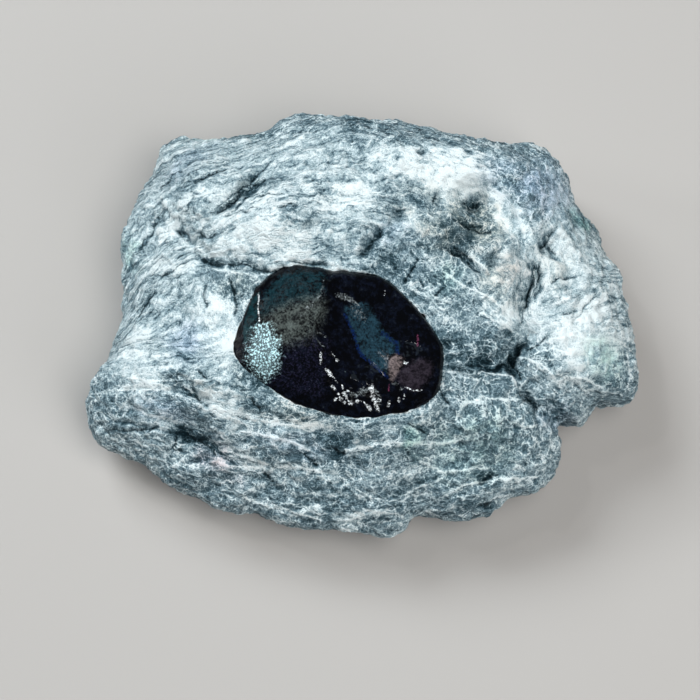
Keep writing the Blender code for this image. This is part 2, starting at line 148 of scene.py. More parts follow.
def ovalMask(x, y, ovals, growth=1.0):
    # strongest of a list of soft ovals: x, y, half length, half width, turn, strength; each may be grown
    mask = np.zeros_like(x)
    for oval in ovals:
        along, across = ovalPlace(x, y, oval)
        mask = np.maximum(mask, oval[5] * np.exp(-((along ** 2 + across ** 2) / growth ** 2) ** ovalEdge))
    return mask


def linePlace(x, y, points):
    # distance to a broken line, signed side (left hand positive) and share of the way along it
    best = np.full_like(x, 1e9)
    side = np.zeros_like(x)
    travel = np.zeros_like(x)
    lengths = [math.dist(a, b) for a, b in zip(points, points[1:])]
    gone = 0.0
    for (ax, ay), (bx, by), length in zip(points, points[1:], lengths):
        ex = bx - ax
        ey = by - ay
        share = np.clip(((x - ax) * ex + (y - ay) * ey) / length ** 2, 0, 1)
        gap = np.hypot(x - ax - ex * share, y - ay - ey * share)
        nearer = gap < best
        best = np.where(nearer, gap, best)
        side = np.where(nearer, (ex * (y - ay) - ey * (x - ax)) / length, side)
        travel = np.where(nearer, (gone + share * length) / sum(lengths), travel)
        gone += length
    return best, side, travel


def insidePlace(x, y, corners):
    # distance to the edge of a closed shape, positive inside it
    ring = list(corners) + [corners[0]]
    gap = linePlace(x, y, ring)[0]
    inside = np.zeros(x.shape, bool)
    for (ax, ay), (bx, by) in zip(ring, ring[1:]):
        if ay == by:
            continue
        crosses = (ay > y) != (by > y)
        inside ^= crosses & (x < (bx - ax) * (y - ay) / (by - ay) + ax)
    return np.where(inside, gap, -gap)


def closedLine(points, steps=10):
    # smooth closed line through the points
    line = []
    total = len(points)
    for index in range(total):
        p0, p1, p2, p3 = (Vector(points[(index + step) % total]) for step in (-1, 0, 1, 2))
        for part in range(steps):
            t = part / steps
            line.append(0.5 * (2 * p1 + (p2 - p0) * t + (2 * p0 - 5 * p1 + 4 * p2 - p3) * t ** 2
                               + (3 * p1 - p0 - 3 * p2 + p3) * t ** 3))
    return [tuple(point) for point in line]


# where the nodule comes out of the rock, in millimetres, and the height of that lip by angle
noduleForm = {
    "middle": (-3.0, -4.8),
    "outline": [
        (-17.4, -6.2), (-16.4, -3.9), (-15.7, -1.3), (-14.3, 1.9), (-12.3, 3.9), (-10.3, 4.9), (-7.8, 5.1),
        (-5.3, 4.6), (-2.2, 4.3), (0.6, 4), (3.4, 3.1), (5.7, 1.1), (7.8, -1.2), (9.7, -3.8), (10.7, -6.5),
        (10.5, -9.5), (9.4, -12.5), (6.9, -14.1), (3.5, -14.8), (-0.5, -15.1), (-4.5, -14.5), (-8.2, -13.5),
        (-11.4, -11.8), (-14.3, -9.7), (-16.4, -7.9)],
    "farSide": 15,              # so many of its points lie on the far side
    "lip": [(0, 22.2), (45, 22.9), (80, 23.4), (120, 23.3), (160, 22.0), (200, 21.6),
            (240, 21.0), (280, 20.6), (320, 21.3), (360, 22.2)],
    "waist": 15.5,
    "crown": 26.4,
    "foot": 5.6,
    "shoulder": 3.4,            # squareness of the upper half
    "belly": 2.1,               # and of the lower half
}


def noduleAngles(x, y):
    dx = x - noduleForm["middle"][0]
    dy = y - noduleForm["middle"][1]
    return np.arctan2(dy, dx), np.hypot(dx, dy)


def outlineReach(angle):
    line = np.array(closedLine(noduleForm["outline"]))
    angles, reach = noduleAngles(line[:, 0], line[:, 1])
    order = np.argsort(angles)
    angles = angles[order]
    reach = reach[order]
    angles = np.concatenate([angles[-3:] - math.tau, angles, angles[:3] + math.tau])
    reach = np.concatenate([reach[-3:], reach, reach[:3]])
    return np.interp(angle, angles, reach)


def lipHeight(angle):
    stations = np.array(noduleForm["lip"], float)
    return np.interp(np.degrees(angle) % 360, stations[:, 0], stations[:, 1])


def beyondNodule(x, y):
    # distance outside the nodule's outline, negative inside it
    angle, distance = noduleAngles(x, y)
    return distance - outlineReach(angle)


# flow of the lava, drawn as strokes; the bands are level lines of a height found from them
flowForm = {
    "cell": 0.5,                # the grid that the height is found on
    "columns": 256,
    "rows": 192,
    "reach": 1.5,               # a stroke counts evenly this near to it, and less and less beyond
    "fade": 1.6,
    "rounds": 8,                # rounds in which the bands' spacing settles
    "spacing": (0.4, 1.8),
    "dip": 0.18,                # how much the bands dip into the rock
    "sideDip": 0.75,            # and below this height, where the sides fall away
    "sideTop": 10.0,
    "strokes": [
        [(-28.1, 17.8), (-19.2, 21.1)], [(-19.9, 12.7), (-10.6, 21.8)], [(-22.8, 15.2), (-16.3, 20)],
        [(-13.5, 16.3), (-4.9, 21.8)], [(-31, 9), (-27, 15.2)], [(-34.5, 4), (-32, 12)],
        [(-22.1, 8.3), (-20.6, 6.5), (-16.3, 5.7), (-11.4, 6.1), (-4.2, 6.7)], [(-27.8, 4.7), (-22.8, 6.8)],
        [(-31, -1.9), (-27.8, 3.6)], [(-29.2, -1.9), (-24.6, 3.9)], [(-11.4, 21.1), (-4.2, 23.3)],
        [(-19.2, 11.9), (-11.4, 17.8)], [(-14.9, 11.9), (-4.9, 11.9)],
        [(-16.3, 14.5), (-11.4, 15.2), (-4.2, 16)], [(-17.8, 9.4), (-4.2, 9.4)], [(5.9, 16.1), (15.9, 18)],
        [(5.9, 24.2), (15.9, 21.2)], [(16.9, 15.8), (20.5, 12.9), (21.9, 9.2), (22.3, 7.4)],
        [(23, 7.4), (23.2, 4.1), (21.9, 0.5), (21.4, -2.8)], [(25.1, 8.8), (24.6, 4.8), (23, 1.2)],
        [(24.4, -0.3), (28, 3), (30.8, 4.1)], [(28, -2.5), (33, 3.7)], [(22.3, -3.2), (30.1, -1)],
        [(14.1, -0.6), (20.8, -3.2)], [(9.8, 4.8), (16.9, 1.2)], [(8, 9.9), (13.7, 4.1)],
        [(12.3, 7.4), (16.9, 4.1)], [(25.1, 19.1), (28, 15)], [(26.6, 9.9), (31.6, 7)],
        [(6.6, 12.5), (12.3, 12.1)], [(-34, -10.2), (-24.7, -10.6)],
        [(-24.3, -9.9), (-21.4, -12.9), (-18.4, -14)], [(-21.4, -13.7), (-13.2, -15.2), (-4.2, -15.9)],
        [(-22.9, -9.5), (-18, -12.9), (-13.5, -15.2)], [(-19.1, -18.6), (-11.7, -20.1), (-4.2, -22)],
        [(-35.9, -14.8), (-26.6, -15.4)], [(-34, -16.3), (-25.5, -20.5)], [(-30.3, -3.8), (-25.5, -9.1)],
        [(-16.1, -23.9), (-4.2, -27)], [(-25.5, -23.2), (-13.5, -28.9)],
        [(-4.2, -18.2), (9.6, -17.3), (18, -14.4)], [(-4.2, -15.4), (5, -14.9), (9.6, -12.8)],
        [(9.6, -24.8), (18.9, -22.5), (25.8, -19.1)], [(-4.2, -28.1), (5, -28.1), (13.3, -26.2)],
        [(14.3, -7.8), (19.8, -7.3)], [(20.3, -5.4), (23.5, -9.7)], [(21.7, -12.1), (25.3, -18.2)],
        [(28.1, -8.3), (35.5, -5.4)], [(24.4, -11.1), (30, -13)]],
}


def flowDirection(x, y):
    # mean of the strokes' directions, the near ones counting most
    outline = noduleForm["outline"]
    turned = noduleForm["farSide"]
    around = [outline[:turned], [outline[0]] + outline[:turned - 2:-1]]
    totalX = np.zeros_like(x)
    totalY = np.zeros_like(x)
    for line in flowForm["strokes"] + around:
        for (ax, ay), (bx, by) in zip(line, line[1:]):
            ex = bx - ax
            ey = by - ay
            share = np.clip(((x - ax) * ex + (y - ay) * ey) / (ex ** 2 + ey ** 2), 0, 1)
            gap = (x - ax - ex * share) ** 2 + (y - ay - ey * share) ** 2
            weight = 1 / (gap + flowForm["reach"] ** 2) ** flowForm["fade"]
            totalX += weight * ex
            totalY += weight * ey
    size = np.hypot(totalX, totalY)
    return totalX / size, totalY / size


def solveBands():
    # height whose slope stands square to the flow, by Fourier sums over a wide grid
    cell = flowForm["cell"]
    columns = (np.arange(flowForm["columns"]) - flowForm["columns"] / 2) * cell
    rows = (np.arange(flowForm["rows"]) - flowForm["rows"] / 2) * cell
    x, y = np.meshgrid(columns, rows)
    flowX, flowY = flowDirection(x, y)
    waveX, waveY = np.meshgrid(math.tau * np.fft.fftfreq(len(columns), cell),
                               math.tau * np.fft.fftfreq(len(rows), cell))
    size = waveX ** 2 + waveY ** 2
    size[0, 0] = 1.0
    pace = np.ones_like(x)
    for _ in range(flowForm["rounds"]):
        slopeX = -flowY * pace
        slopeY = flowX * pace
        meanX = slopeX.mean()
        meanY = slopeY.mean()
        waves = -1j * (waveX * np.fft.fft2(slopeX - meanX) + waveY * np.fft.fft2(slopeY - meanY)) / size
        foundX = np.fft.ifft2(1j * waveX * waves).real + meanX
        foundY = np.fft.ifft2(1j * waveY * waves).real + meanY
        pace = np.clip(foundY * flowX - foundX * flowY, *flowForm["spacing"])
    return np.fft.ifft2(waves).real + meanX * x + meanY * y


bandGrid = solveBands()
print("flow bands found")


def bandLevel(points):
    column = points[:, 0] / flowForm["cell"] + flowForm["columns"] / 2
    row = points[:, 1] / flowForm["cell"] + flowForm["rows"] / 2
    left = np.floor(column).astype(int)
    low = np.floor(row).astype(int)
    right = column - left
    up = row - low
    level = (bandGrid[low, left] * (1 - right) + bandGrid[low, left + 1] * right) * (1 - up)
    level += (bandGrid[low + 1, left] * (1 - right) + bandGrid[low + 1, left + 1] * right) * up
    level -= flowForm["dip"] * points[:, 2]
    return level + flowForm["sideDip"] * np.maximum(flowForm["sideTop"] - points[:, 2], 0.0)


# the perlite: sizes in millimetres
rockCut = {
    "voxel": 0.62,
    "weld": 0.01,
    "fineFacing": 0.12,         # the mesh is finer on what faces up more than this,
    "fineHeight": 14.0,         # or lies above this height,
    "fineFoot": 5.0,            # unless it lies under this one
    "socketEdge": -0.9,         # or deeper in the socket than this
    # fine relief: height and size
    "beads": (0.42, 2.4),
    "smallBeads": (0.16, 1.2),
    "faces": (0.62, 3.4),
    "smallFaces": (0.24, 1.5),
    "lumps": (0.20, 0.85),
    "grains": (0.10, 0.45),
    # height, length and width of the fibres along the bands
    "bands": (0.24, 5.0, 1.0),
    "threads": (0.16, 3.2, 0.45),
    "beadsLost": 0.16,          # so much lower are the beads where bands run,
    "facesLost": 0.22,          # and the broken faces on top
    "topFacing": (0.1, 0.7),    # what counts as the top, by the way it faces and by its height
    "topHeight": (4.0, 9.0),
    "baseBand": 0.25,           # what lies lower belongs to the flat base
    "hollowRounds": 14,
    "hollowDepth": 0.35,
    "cleftDepth": 0.9,
    "seamDepth": 0.30,
    "seamWidth": 0.30,
    "shellPitch": 0.85,
    "shells": [              # onion-skin shells round the nodule: angle range, reach, step
        (-75.0, 5.0, 3.4, 0.34), (200.0, 250.0, 3.0, 0.26), (20.0, 62.0, 2.4, 0.26)],
    # cracks: width, depth, points
    "cracks": [
        (0.36, 1.5, [(22, -4), (20.6, -5.6), (19.6, -7.6), (20.6, -9.2)]),
        (0.60, 2.2, [(21.2, -10.6), (22.4, -11.8), (23.8, -13)]),
        (0.34, 1.1, [(13.6, -8.6), (15.6, -8.9), (17.8, -8.2), (19.6, -7.4)]),
        (0.26, 0.9, [(20.8, 6.8), (22.8, 5.4), (23, 3.4), (22.2, 1.6), (20.9, -0.9)]),
        (0.24, 0.9, [(22.4, 6.6), (24, 5), (24, 3), (23, 1)]),
        (0.34, 1.3, [(11.6, 7.5), (13.4, 6.9), (14.6, 5.4), (16.4, 4)]),
        (0.32, 0.8, [(12.4, 11.4), (13.8, 10.8), (15.4, 10.9), (16.8, 10.3)]),
        (0.30, 1, [(-23.6, -10.9), (-21.4, -12.2), (-20.2, -13.6)]),
        (0.32, 1.1, [(-22.6, -16.4), (-20.9, -16.8), (-19, -18.4), (-17.6, -19.8)]),
        (0.30, 0.9, [(-19.8, 12.3), (-17.6, 14), (-15.2, 15.9)]),
        (0.26, 0.8, [(-18.2, 12.2), (-15.8, 14.4), (-13, 17)]),
        (0.36, 1.2, [(0.2, 7.6), (1.2, 8.6), (2.6, 9.6)]),
        (0.30, 1, [(23.4, 8.2), (24.6, 9), (25, 10.4), (26.6, 11.2)]),
        (0.30, 0.9, [(25, 9), (25.6, 7.4), (26.8, 6.6)]),
        (0.34, 1, [(-10.4, -13.6), (-8.6, -14.7), (-7, -15.6)]),
        (0.30, 0.8, [(-11.2, -14.6), (-9.4, -15.6)]),
        (0.50, 1.6, [(10.6, -12.2), (11.4, -10), (11.2, -8.4)]),
        (0.30, 0.9, [(-24.4, 11.3), (-23.2, 9.6), (-22, 9.2)]), (0.28, 0.8, [(7.4, 20.4), (8.6, 20.8)]),
        (0.50, 1.4, [(15.6, -22.6), (17.4, -21.4)]),
        (0.24, 0.5, [(-33.6, -14), (-29.6, -14.8), (-25.6, -16)]),
        (0.34, 0.9, [(28, -15.4), (27, -13), (25.2, -12)])],
    # steps with a shadowed foot: height, run back, points with the high side on the left hand
    "steps": [
        (0.5, 2.2, [(-22.8, 9.4), (-21.6, 7.4), (-19.6, 6), (-16.4, 5.5), (-12.6, 5.9), (-8, 6.6)]),
        (0.5, 1.8, [(-34.6, -9.8), (-28.4, -10.3), (-23.4, -10.8), (-19.8, -12.4), (-16.6, -13.8)]),
        (0.6, 1.6, [(9, 7.9), (12, 7.7), (14, 6.6)]), (0.5, 1.8, [(18.4, 17.4), (20.2, 13.6), (20.9, 9.8)]),
        (0.7, 1.5, [(16.4, 3.4), (17, 6.6), (19, 8)]), (0.5, 1.6, [(27.6, -1.6), (29, 1.6), (31.4, 4.6)])],
    # small pits: x, y, half length, half width, turn, depth
    "pits": [
        (-24.4, 11.2, 0.9, 0.6, 40, 0.8), (-21.6, 9.9, 0.7, 0.5, 0, 0.6), (-20.4, 8.4, 0.6, 0.4, 20, 0.5),
        (-15.4, 15.9, 0.9, 0.6, 20, 0.8), (-13.8, 16.6, 0.7, 0.5, 0, 0.7), (-4.8, 15, 0.8, 0.5, 0, 0.6),
        (-9.8, 12.3, 0.9, 0.5, 10, 0.6), (7.8, 20.5, 0.6, 0.3, 0, 0.9), (2.3, 18.9, 0.9, 0.7, 0, 0.5),
        (14.9, 14.4, 1.1, 0.8, 70, 1.1), (10.4, 13.9, 0.6, 0.9, 0, 0.8), (4.9, 12.2, 0.7, 1.1, 0, 0.7),
        (14.6, 20.7, 0.8, 0.5, 0, 0.6), (24.2, 8.2, 0.6, 0.9, 30, 1), (-23.6, -16, 1.4, 1, -40, 0.8),
        (-21.6, -19.2, 1.4, 0.6, 10, 0.8), (-3, -19, 1.1, 0.9, 0, 0.6), (17.2, -25.3, 1, 0.6, 20, 0.8),
        (13.2, -18, 0.5, 0.5, 0, 0.7), (16.2, -7.2, 1.3, 0.7, 20, 0.8), (12.6, -5.2, 0.8, 0.6, 0, 0.7),
        (19.4, -3.2, 1, 0.6, 10, 0.7), (-31.4, -12.8, 0.8, 0.5, 0, 0.6), (31.5, -9.4, 1.2, 0.5, 0, 0.6)],
}

# hair seams drawn on the top: dark cracks and white healed ones
rockSeams = {
    "dark": [
        [(-28, 17.2), (-25.6, 19.1), (-24, 19.8)],
        [(-20.1, 12.9), (-17.8, 14.9), (-14.9, 17.4), (-11.4, 21.2)],
        [(-19.6, 12.7), (-17.1, 14.3), (-15.8, 16.3)], [(-22.8, 16.7), (-20.6, 18.3), (-17.8, 19.4)],
        [(-15.5, 16.3), (-13.1, 17.4), (-11.4, 17.2)], [(-30.6, 9), (-28.7, 11.9), (-26.7, 15.2)],
        [(-25.6, 11.6), (-23.8, 11.2), (-23.1, 10.1)], [(-22.2, 10.7), (-20.6, 9.4), (-19.2, 10.1)],
        [(-22.2, 8.5), (-21.7, 7.2), (-19.6, 6.3), (-16.3, 5.7), (-13.5, 5.7), (-9.2, 6.1), (-4.2, 5.7)],
        [(-11.4, 7.4), (-8.1, 7.8), (-4.2, 7.4)], [(-16.3, 14.7), (-13.5, 14.7), (-9.9, 14.1)],
        [(-18.8, 11.9), (-16.3, 12.7), (-13.5, 12.7)], [(-11.4, 12.5), (-8.5, 12.9)],
        [(-28.3, 5.4), (-26, 5.7), (-23.1, 7.4)], [(-30.6, -0.5), (-29.2, 2.1), (-27.8, 3.9)],
        [(-21, 3.9), (-21.3, 1.7), (-20.6, -0.5)], [(-17.8, 4.7), (-17.4, 1.7), (-18, -1.5)],
        [(23, 7), (23.2, 4.1), (22.3, 1.9), (21.6, -0.6), (21.2, -3)],
        [(23.7, 6.7), (23.9, 4.1), (23, 1.9)], [(23.9, 8.3), (25.1, 9.4), (25.7, 10.7)],
        [(25.1, 9.2), (26.2, 7.4)], [(11.9, 7.9), (13.7, 7), (15.1, 5.6)],
        [(13.4, 10.7), (15.9, 9.9), (17.6, 10.3)], [(13.5, 14), (14.4, 15)], [(9.8, 15.4), (9.4, 13.2)],
        [(7.3, 6.3), (6.9, 3.7)], [(25, 3), (26.6, 4.1), (29.4, 4.7)],
        [(28, -2.3), (30.1, 0.8), (32.3, 2.3)], [(26.6, -1), (28.3, -0.6)], [(10.9, 2.6), (10.5, 1.2)],
        [(5.2, -1), (7.3, -1.7)], [(-24, -15.9), (-22.1, -16.7), (-20.6, -17.8), (-19.1, -19.4)],
        [(-22.9, -10.2), (-21.4, -12.9)], [(-15, -12.3), (-13.2, -14)],
        [(-24.7, -15.9), (-25.5, -17.8), (-23.2, -18.6)], [(-35.5, -14.8), (-30.3, -15.4), (-27, -15.2)],
        [(-16.9, -14.4), (-14.7, -15.2)], [(-10.2, -11.8), (-8, -13.1)], [(-8, -19), (-5.7, -20.9)],
        [(-13.5, -20.9), (-11.7, -22.4)], [(-22.1, -8.3), (-20.6, -9.9)],
        [(14.3, -7.8), (17.5, -8), (19.8, -7.1)], [(19.6, -5.4), (20.3, -7.3), (21.7, -9.7)],
        [(21.9, -10.9), (23.5, -12.8)], [(25.3, -3.6), (21.7, -5.4)], [(15.2, -25.8), (18.9, -24.1)],
        [(20.7, -25.8), (23.5, -23.4)], [(-4.2, -18.2), (-1.5, -19.6)], [(5.9, -15.8), (8.7, -16.8)],
        [(11.5, -11.6), (11.9, -13.5)], [(28.1, -9.7), (30.9, -11.1)]],
    "white": [
        [(-31, -3), (-30.6, 1.7), (-29.9, 5.4)], [(-29.5, 3.9), (-27.4, 5.7), (-23.1, 6.1)],
        [(-29.9, 6.8), (-27, 8.3), (-22.8, 8.7)], [(-21, 6.1), (-17.8, 5), (-14.9, 4.7)],
        [(-13.5, 22.2), (-9.2, 23.3), (-4.2, 24.3)], [(-11.4, 20), (-7.8, 20.7), (-4.2, 21.8)],
        [(-22.1, 4.7), (-22.4, 1.7), (-21.3, -1.2)], [(-16.3, 14.1), (-11.4, 13.4), (-5.6, 13.4)],
        [(16.9, 15.8), (19.4, 14), (21.2, 11.8), (21.9, 9.2), (22.3, 8.1)],
        [(17.6, 16.1), (20.1, 13.6), (21.9, 12.5)], [(24.4, 8.1), (25.1, 5.6), (24.4, 2.6), (22.6, -1)],
        [(28, -2.5), (30.1, 1.2), (33, 3.7)], [(29.4, -2.8), (31.6, 0.8), (33.7, 3)],
        [(25.1, 0.1), (28, 1.9), (31.6, 2.6)], [(21.9, -3.2), (26.6, -2.1), (30.1, -2.5)],
        [(15.1, -0.6), (18.7, -2.5), (21.2, -3.2)], [(8.7, 1.2), (10.1, -2.5), (10.5, -5.4)],
        [(10.5, 4.8), (13.4, 2.6), (16.9, 1.2), (20.8, -1.7)], [(14.1, 7), (17.3, 4.1)],
        [(23, -4.6), (28, -3.9), (33.7, -4.3)], [(-34, -10), (-29.6, -10.6), (-24.7, -10.8)],
        [(-32.2, -8.7), (-28.4, -9.7), (-24.7, -9.9)],
        [(-24.3, -9.9), (-22.1, -11.4), (-19.9, -13.7), (-16.9, -14.2)],
        [(-22.1, -15.2), (-18.4, -14.4), (-13.9, -15), (-8.7, -16.1), (-4.2, -16.3)],
        [(-19.1, -13.7), (-13.9, -14.6), (-9.4, -15.2), (-4.2, -15.2)],
        [(-19.9, -17.8), (-16.9, -19), (-12.1, -20.3)], [(-12.1, -20.5), (-8, -20.9), (-4.2, -21.7)],
        [(-17.6, -15.9), (-13.9, -16.7), (-9.4, -17.8), (-5.7, -19.4)],
        [(-35.5, -19), (-30.3, -20.9), (-25.5, -23.2)], [(-25.1, -23.9), (-19.1, -26.2), (-13.9, -28.9)],
        [(-16.9, -23.9), (-11.7, -25.5), (-4.2, -27.4)], [(-28.4, -3.4), (-28, -6), (-25.5, -8.7)],
        [(-11.7, -11.8), (-9.1, -12.9), (-6.8, -13.7), (-4.2, -14)],
        [(-32.9, -11.8), (-28.4, -14), (-25.5, -14.4)], [(-21, -19.4), (-16.9, -20.5), (-12.4, -20.7)],
        [(-4.2, -14.9), (1.3, -15), (5.9, -14.2), (9.6, -12.5)],
        [(-4.2, -19.1), (3.2, -18.2), (9.6, -18.2), (15.6, -16.8)],
        [(11.5, -9.7), (15.2, -8.8), (19.8, -8.8), (21.7, -11.6)],
        [(20.3, -5.9), (24.4, -7.8), (27.2, -11.1)], [(22.1, -6.4), (25.3, -5.4), (29, -6.9)],
        [(9.6, -24.8), (15.2, -22.5), (19.8, -22), (25.8, -21.5)],
        [(-4.2, -27.6), (1.3, -26.2), (7.8, -27.2)], [(12.4, -13.9), (16.1, -12.1), (21.7, -12.1)],
        [(23, -13), (25.3, -15.8), (25.8, -18.2)], [(6.9, -19.6), (11, -21.5), (18, -20.6)],
        [(24.4, -9.7), (30, -9.2), (35.5, -11.6)], [(36, -4), (36.4, -8.3), (35.5, -12.1)]],
    "reach": 0.9,               # the seams are only measured this near to them
}

# colour zones of the perlite: x, y, half length, half width, turn, strength
rockZones = {
    "pale": [
        (-8, 15, 22, 10.5, 3, 0.92), (-29, 2, 7.5, 12, -6, 1.3), (-21, -4, 5, 8, 10, 0.8),
        (8, 18, 10, 6, -6, 0.8), (31, 0, 6, 9, -10, 0.95), (22, 0, 6, 5, 0, 0.6), (24, 15, 8, 8, 0, 0.42),
        (-22, 17, 11, 9, 35, 1.5), (28, 3, 9, 10, 0, 1.1), (18, 6, 5, 6, 0, 0.4), (20, 12, 3, 6, 25, 0.6),
        (-19, -13, 5, 2.6, -25, 0.8), (-29, -13, 6, 5, 0, 0.42)],
    "chalk": [
        (10.6, 18.6, 7.6, 2.8, -6, 1), (4.6, 20.6, 5, 2.2, 5, 0.7), (14.6, 16.6, 4.2, 2, -20, 0.8),
        (-15.2, 8.6, 6.6, 1.9, 4, 1), (-9.2, 9, 5.2, 2, 12, 0.8), (-25.2, 7, 3.6, 0.9, 8, 1),
        (-3.2, 14.6, 7, 2.6, 8, 0.7), (-11.2, 13.6, 5, 2.2, 34, 0.6), (-24.6, 13.4, 5, 2.4, 45, 0.6),
        (-18.8, -13.6, 3.6, 1.5, -22, 1), (-21.2, -11.2, 2.4, 0.8, -30, 0.8),
        (-29, -10.2, 5.6, 0.7, -6, 0.8), (-9, -16, 7, 0.7, -8, 0.8), (2, -16.2, 6.4, 0.5, 3, 0.7),
        (9.6, -14.2, 2.2, 0.6, 40, 0.7), (-30.6, -4.6, 2.6, 5.6, -8, 0.7), (-25.2, -7.6, 4.6, 2, -30, 0.6),
        (-19.6, 1, 1.5, 1.7, 0, 0.8), (-18.2, -4, 3, 2.6, 20, 0.45), (18.6, 5.6, 0.9, 2.3, -30, 1),
        (19.4, 0.6, 2.4, 1.6, 10, 0.6), (32, 1.2, 1.2, 4.4, -28, 0.8), (29.6, -0.4, 0.9, 4, -34, 0.7),
        (26.6, -1.6, 3.8, 1.6, 30, 0.5), (20.6, -0.6, 2.8, 1.2, 50, 0.6), (34.2, -6, 1.2, 4, -10, 0.6),
        (24.4, -9.6, 2, 1.2, -40, 0.7), (29, -8.6, 1.6, 1, 20, 0.5), (18.4, 12.2, 1, 3.6, 28, 0.6),
        (-16.6, -19.8, 4.4, 0.6, -14, 0.6), (-6, -22, 6, 0.6, -6, 0.5), (-2, -27, 7, 1, 0, 0.5),
        (-31, 11, 1.4, 3, 0, 0.6)],
    # painted shade: darker ovals over pits, cracks and the lower right, together with some darker patches of
    # the rock
    "paintedShadeAndDarkPatch": [
        (16.4, -6.4, 5, 2.6, -6, 1), (12.8, -5.6, 1.8, 3.6, 0, 0.8), (-23.4, -16.2, 2.8, 1.8, -35, 0.7),
        (-21.6, -19.6, 2.4, 1, 10, 0.7), (14.9, 14.2, 1.8, 1.3, 60, 0.8), (13.6, 9.6, 3.6, 2.4, 10, 0.8),
        (35, -9.6, 2.8, 1.8, 10, 1), (13.6, -14, 4.6, 3.2, 40, 0.55), (20.8, -15.4, 4, 3.4, 0, 0.45),
        (6.4, -18, 1.6, 1.8, 0, 0.8), (-3, -18.8, 3.2, 1.5, -10, 0.9), (-10, -19.4, 3.6, 1.4, -12, 0.6),
        (12, -22, 7, 2, 20, 0.4), (-8, -24, 9, 1.6, -6, 0.5), (-30, -12.4, 4, 1.6, -4, 0.25),
        (-14.2, 16.4, 3.4, 1.2, 38, 0.8), (-23.6, 20.4, 4.4, 1.3, 40, 0.45),
        (-17.6, 13.2, 3.6, 0.7, 42, 0.5), (-24.8, 10.8, 1.5, 1.2, 30, 0.9), (5, 12.4, 1.4, 1.8, 0, 0.6),
        (9.6, 2.4, 2, 3.4, 60, 0.5), (24.6, 17, 3.4, 3, 0, 0.5), (28.6, 12, 1.8, 2, 0, 0.6),
        (-15, -8.6, 1, 2.4, 40, 0.6), (-11.6, -14.8, 3.6, 0.9, -24, 0.7), (1, 26, 8, 1, 0, 0.6),
        (17, -22, 2, 1.2, 30, 0.7), (3.2, 6.6, 4.6, 1.8, 0, 0.5), (27, -13.2, 2.2, 1.2, 0, 0.6),
        (-27, -1, 1.8, 2.4, 20, 0.2), (-26, 17.6, 4, 2, 35, 0.2), (-33.6, 6, 1.6, 3, -10, 0.3),
        (-34.6, -13, 2, 3, 0, 0.3)],
    "umber": [
        (15, 11, 4.4, 4, 30, 1), (11.6, 9.6, 3.6, 3.2, 0, 0.8), (18.6, 3.8, 3, 3.4, 0, 0.7),
        (8, 13.8, 3.4, 2.8, 0, 0.5), (-13.6, -9.6, 2.6, 3.6, -35, 0.6), (-17, 3, 2.6, 2.2, 0, 0.5),
        (-21, -10.6, 2.4, 1.4, -20, 0.2), (-9.6, -14.2, 4, 1.4, -20, 0.6), (25.8, 5, 2.6, 2.4, 0, 0.4)],
    "indigo": [
        (24, 16.6, 4.6, 4, 0, 1), (20, 18.6, 4, 2, 20, 0.6), (-23.4, -4.4, 2.6, 2.8, 20, 0.9),
        (-26.8, -13, 4, 1.6, -10, 0.6), (3.6, 9.8, 3, 1.4, 0, 0.4), (-9, -18, 5, 1.4, -10, 0.4),
        (26, -14, 2.6, 1.6, 0, 0.5), (-24, 20.6, 4, 2, 40, 0.4)],
    # broken into round grains, where no bands run
    "crackle": [
        (17, -15, 13, 11, 0, 1), (28, -7, 10, 7, -20, 1), (15, 9, 8, 8, 0, 1), (23, 15, 7, 7, 0, 0.9),
        (27, 7, 5, 6, 0, 0.7), (14, -4, 5, 6, 0, 0.8), (-18, 0, 4, 6, 0, 0.7), (-32, -13, 7, 6, 0, 0.8),
        (-8, -20, 14, 5, -6, 0.75)],
    "rose": [
        (-19.8, -19.2, 2.4, 2, -20, 1), (-17.8, -21.4, 1.8, 1.4, 0, 0.7), (20, 4, 2, 2.4, 0, 0.3)],
    "jade": [
        (29.6, 13.4, 1.8, 1.2, -40, 1), (6.6, -17.6, 1.3, 1.8, 0, 0.8), (-31.6, 9.4, 1.2, 2.2, 0, 0.6),
        (32.6, -6.4, 2.6, 2.6, 0, 0.6), (-20, 26, 5, 1.2, 0, 0.6), (12, 3.6, 2, 2, 0, 0.4),
        (15, -18, 6, 4, 20, 0.4)],
}


def creased(place):
    # rounded cells that meet in sharp valleys
    nearest = noise.voronoi(place)[0]
    return min(1.0, 1.6 * (nearest[1] - nearest[0])) - 0.5


chiselTurn = Euler((0.5, 0.9, 0.3)).to_matrix()


def chiselled(place):
    # flat broken faces that meet in sharp corners
    return 0.45 - noise.voronoi(chiselTurn @ place, distance_metric="CHEBYCHEV")[0][0]


def rockRelief(place, level, upward, strand):
    # fine relief in millimetres: beads, broken faces and fibres that follow the bands
    height, size = rockCut["beads"]
    relief = (height - rockCut["beadsLost"] * strand) * creased(place / size)
    height, size = rockCut["smallBeads"]
    relief += height * creased(place / size + Vector((4.0, 2.0, 7.0)))
    height, size = rockCut["faces"]
    relief += (height - rockCut["facesLost"] * upward) * chiselled(place / size)
    height, size = rockCut["smallFaces"]
    relief += height * chiselled(place / size + Vector((2.0, 5.0, 1.0)))
    for name in ("bands", "threads"):
        height, length, width = rockCut[name]
        along = Vector((place.x / length, place.y / length, level / width))
        relief += height * (0.4 - abs(noise.noise(along))) * upward * strand
    for name in ("lumps", "grains"):
        height, size = rockCut[name]
        relief += height * noise.noise(place / size)
    return relief


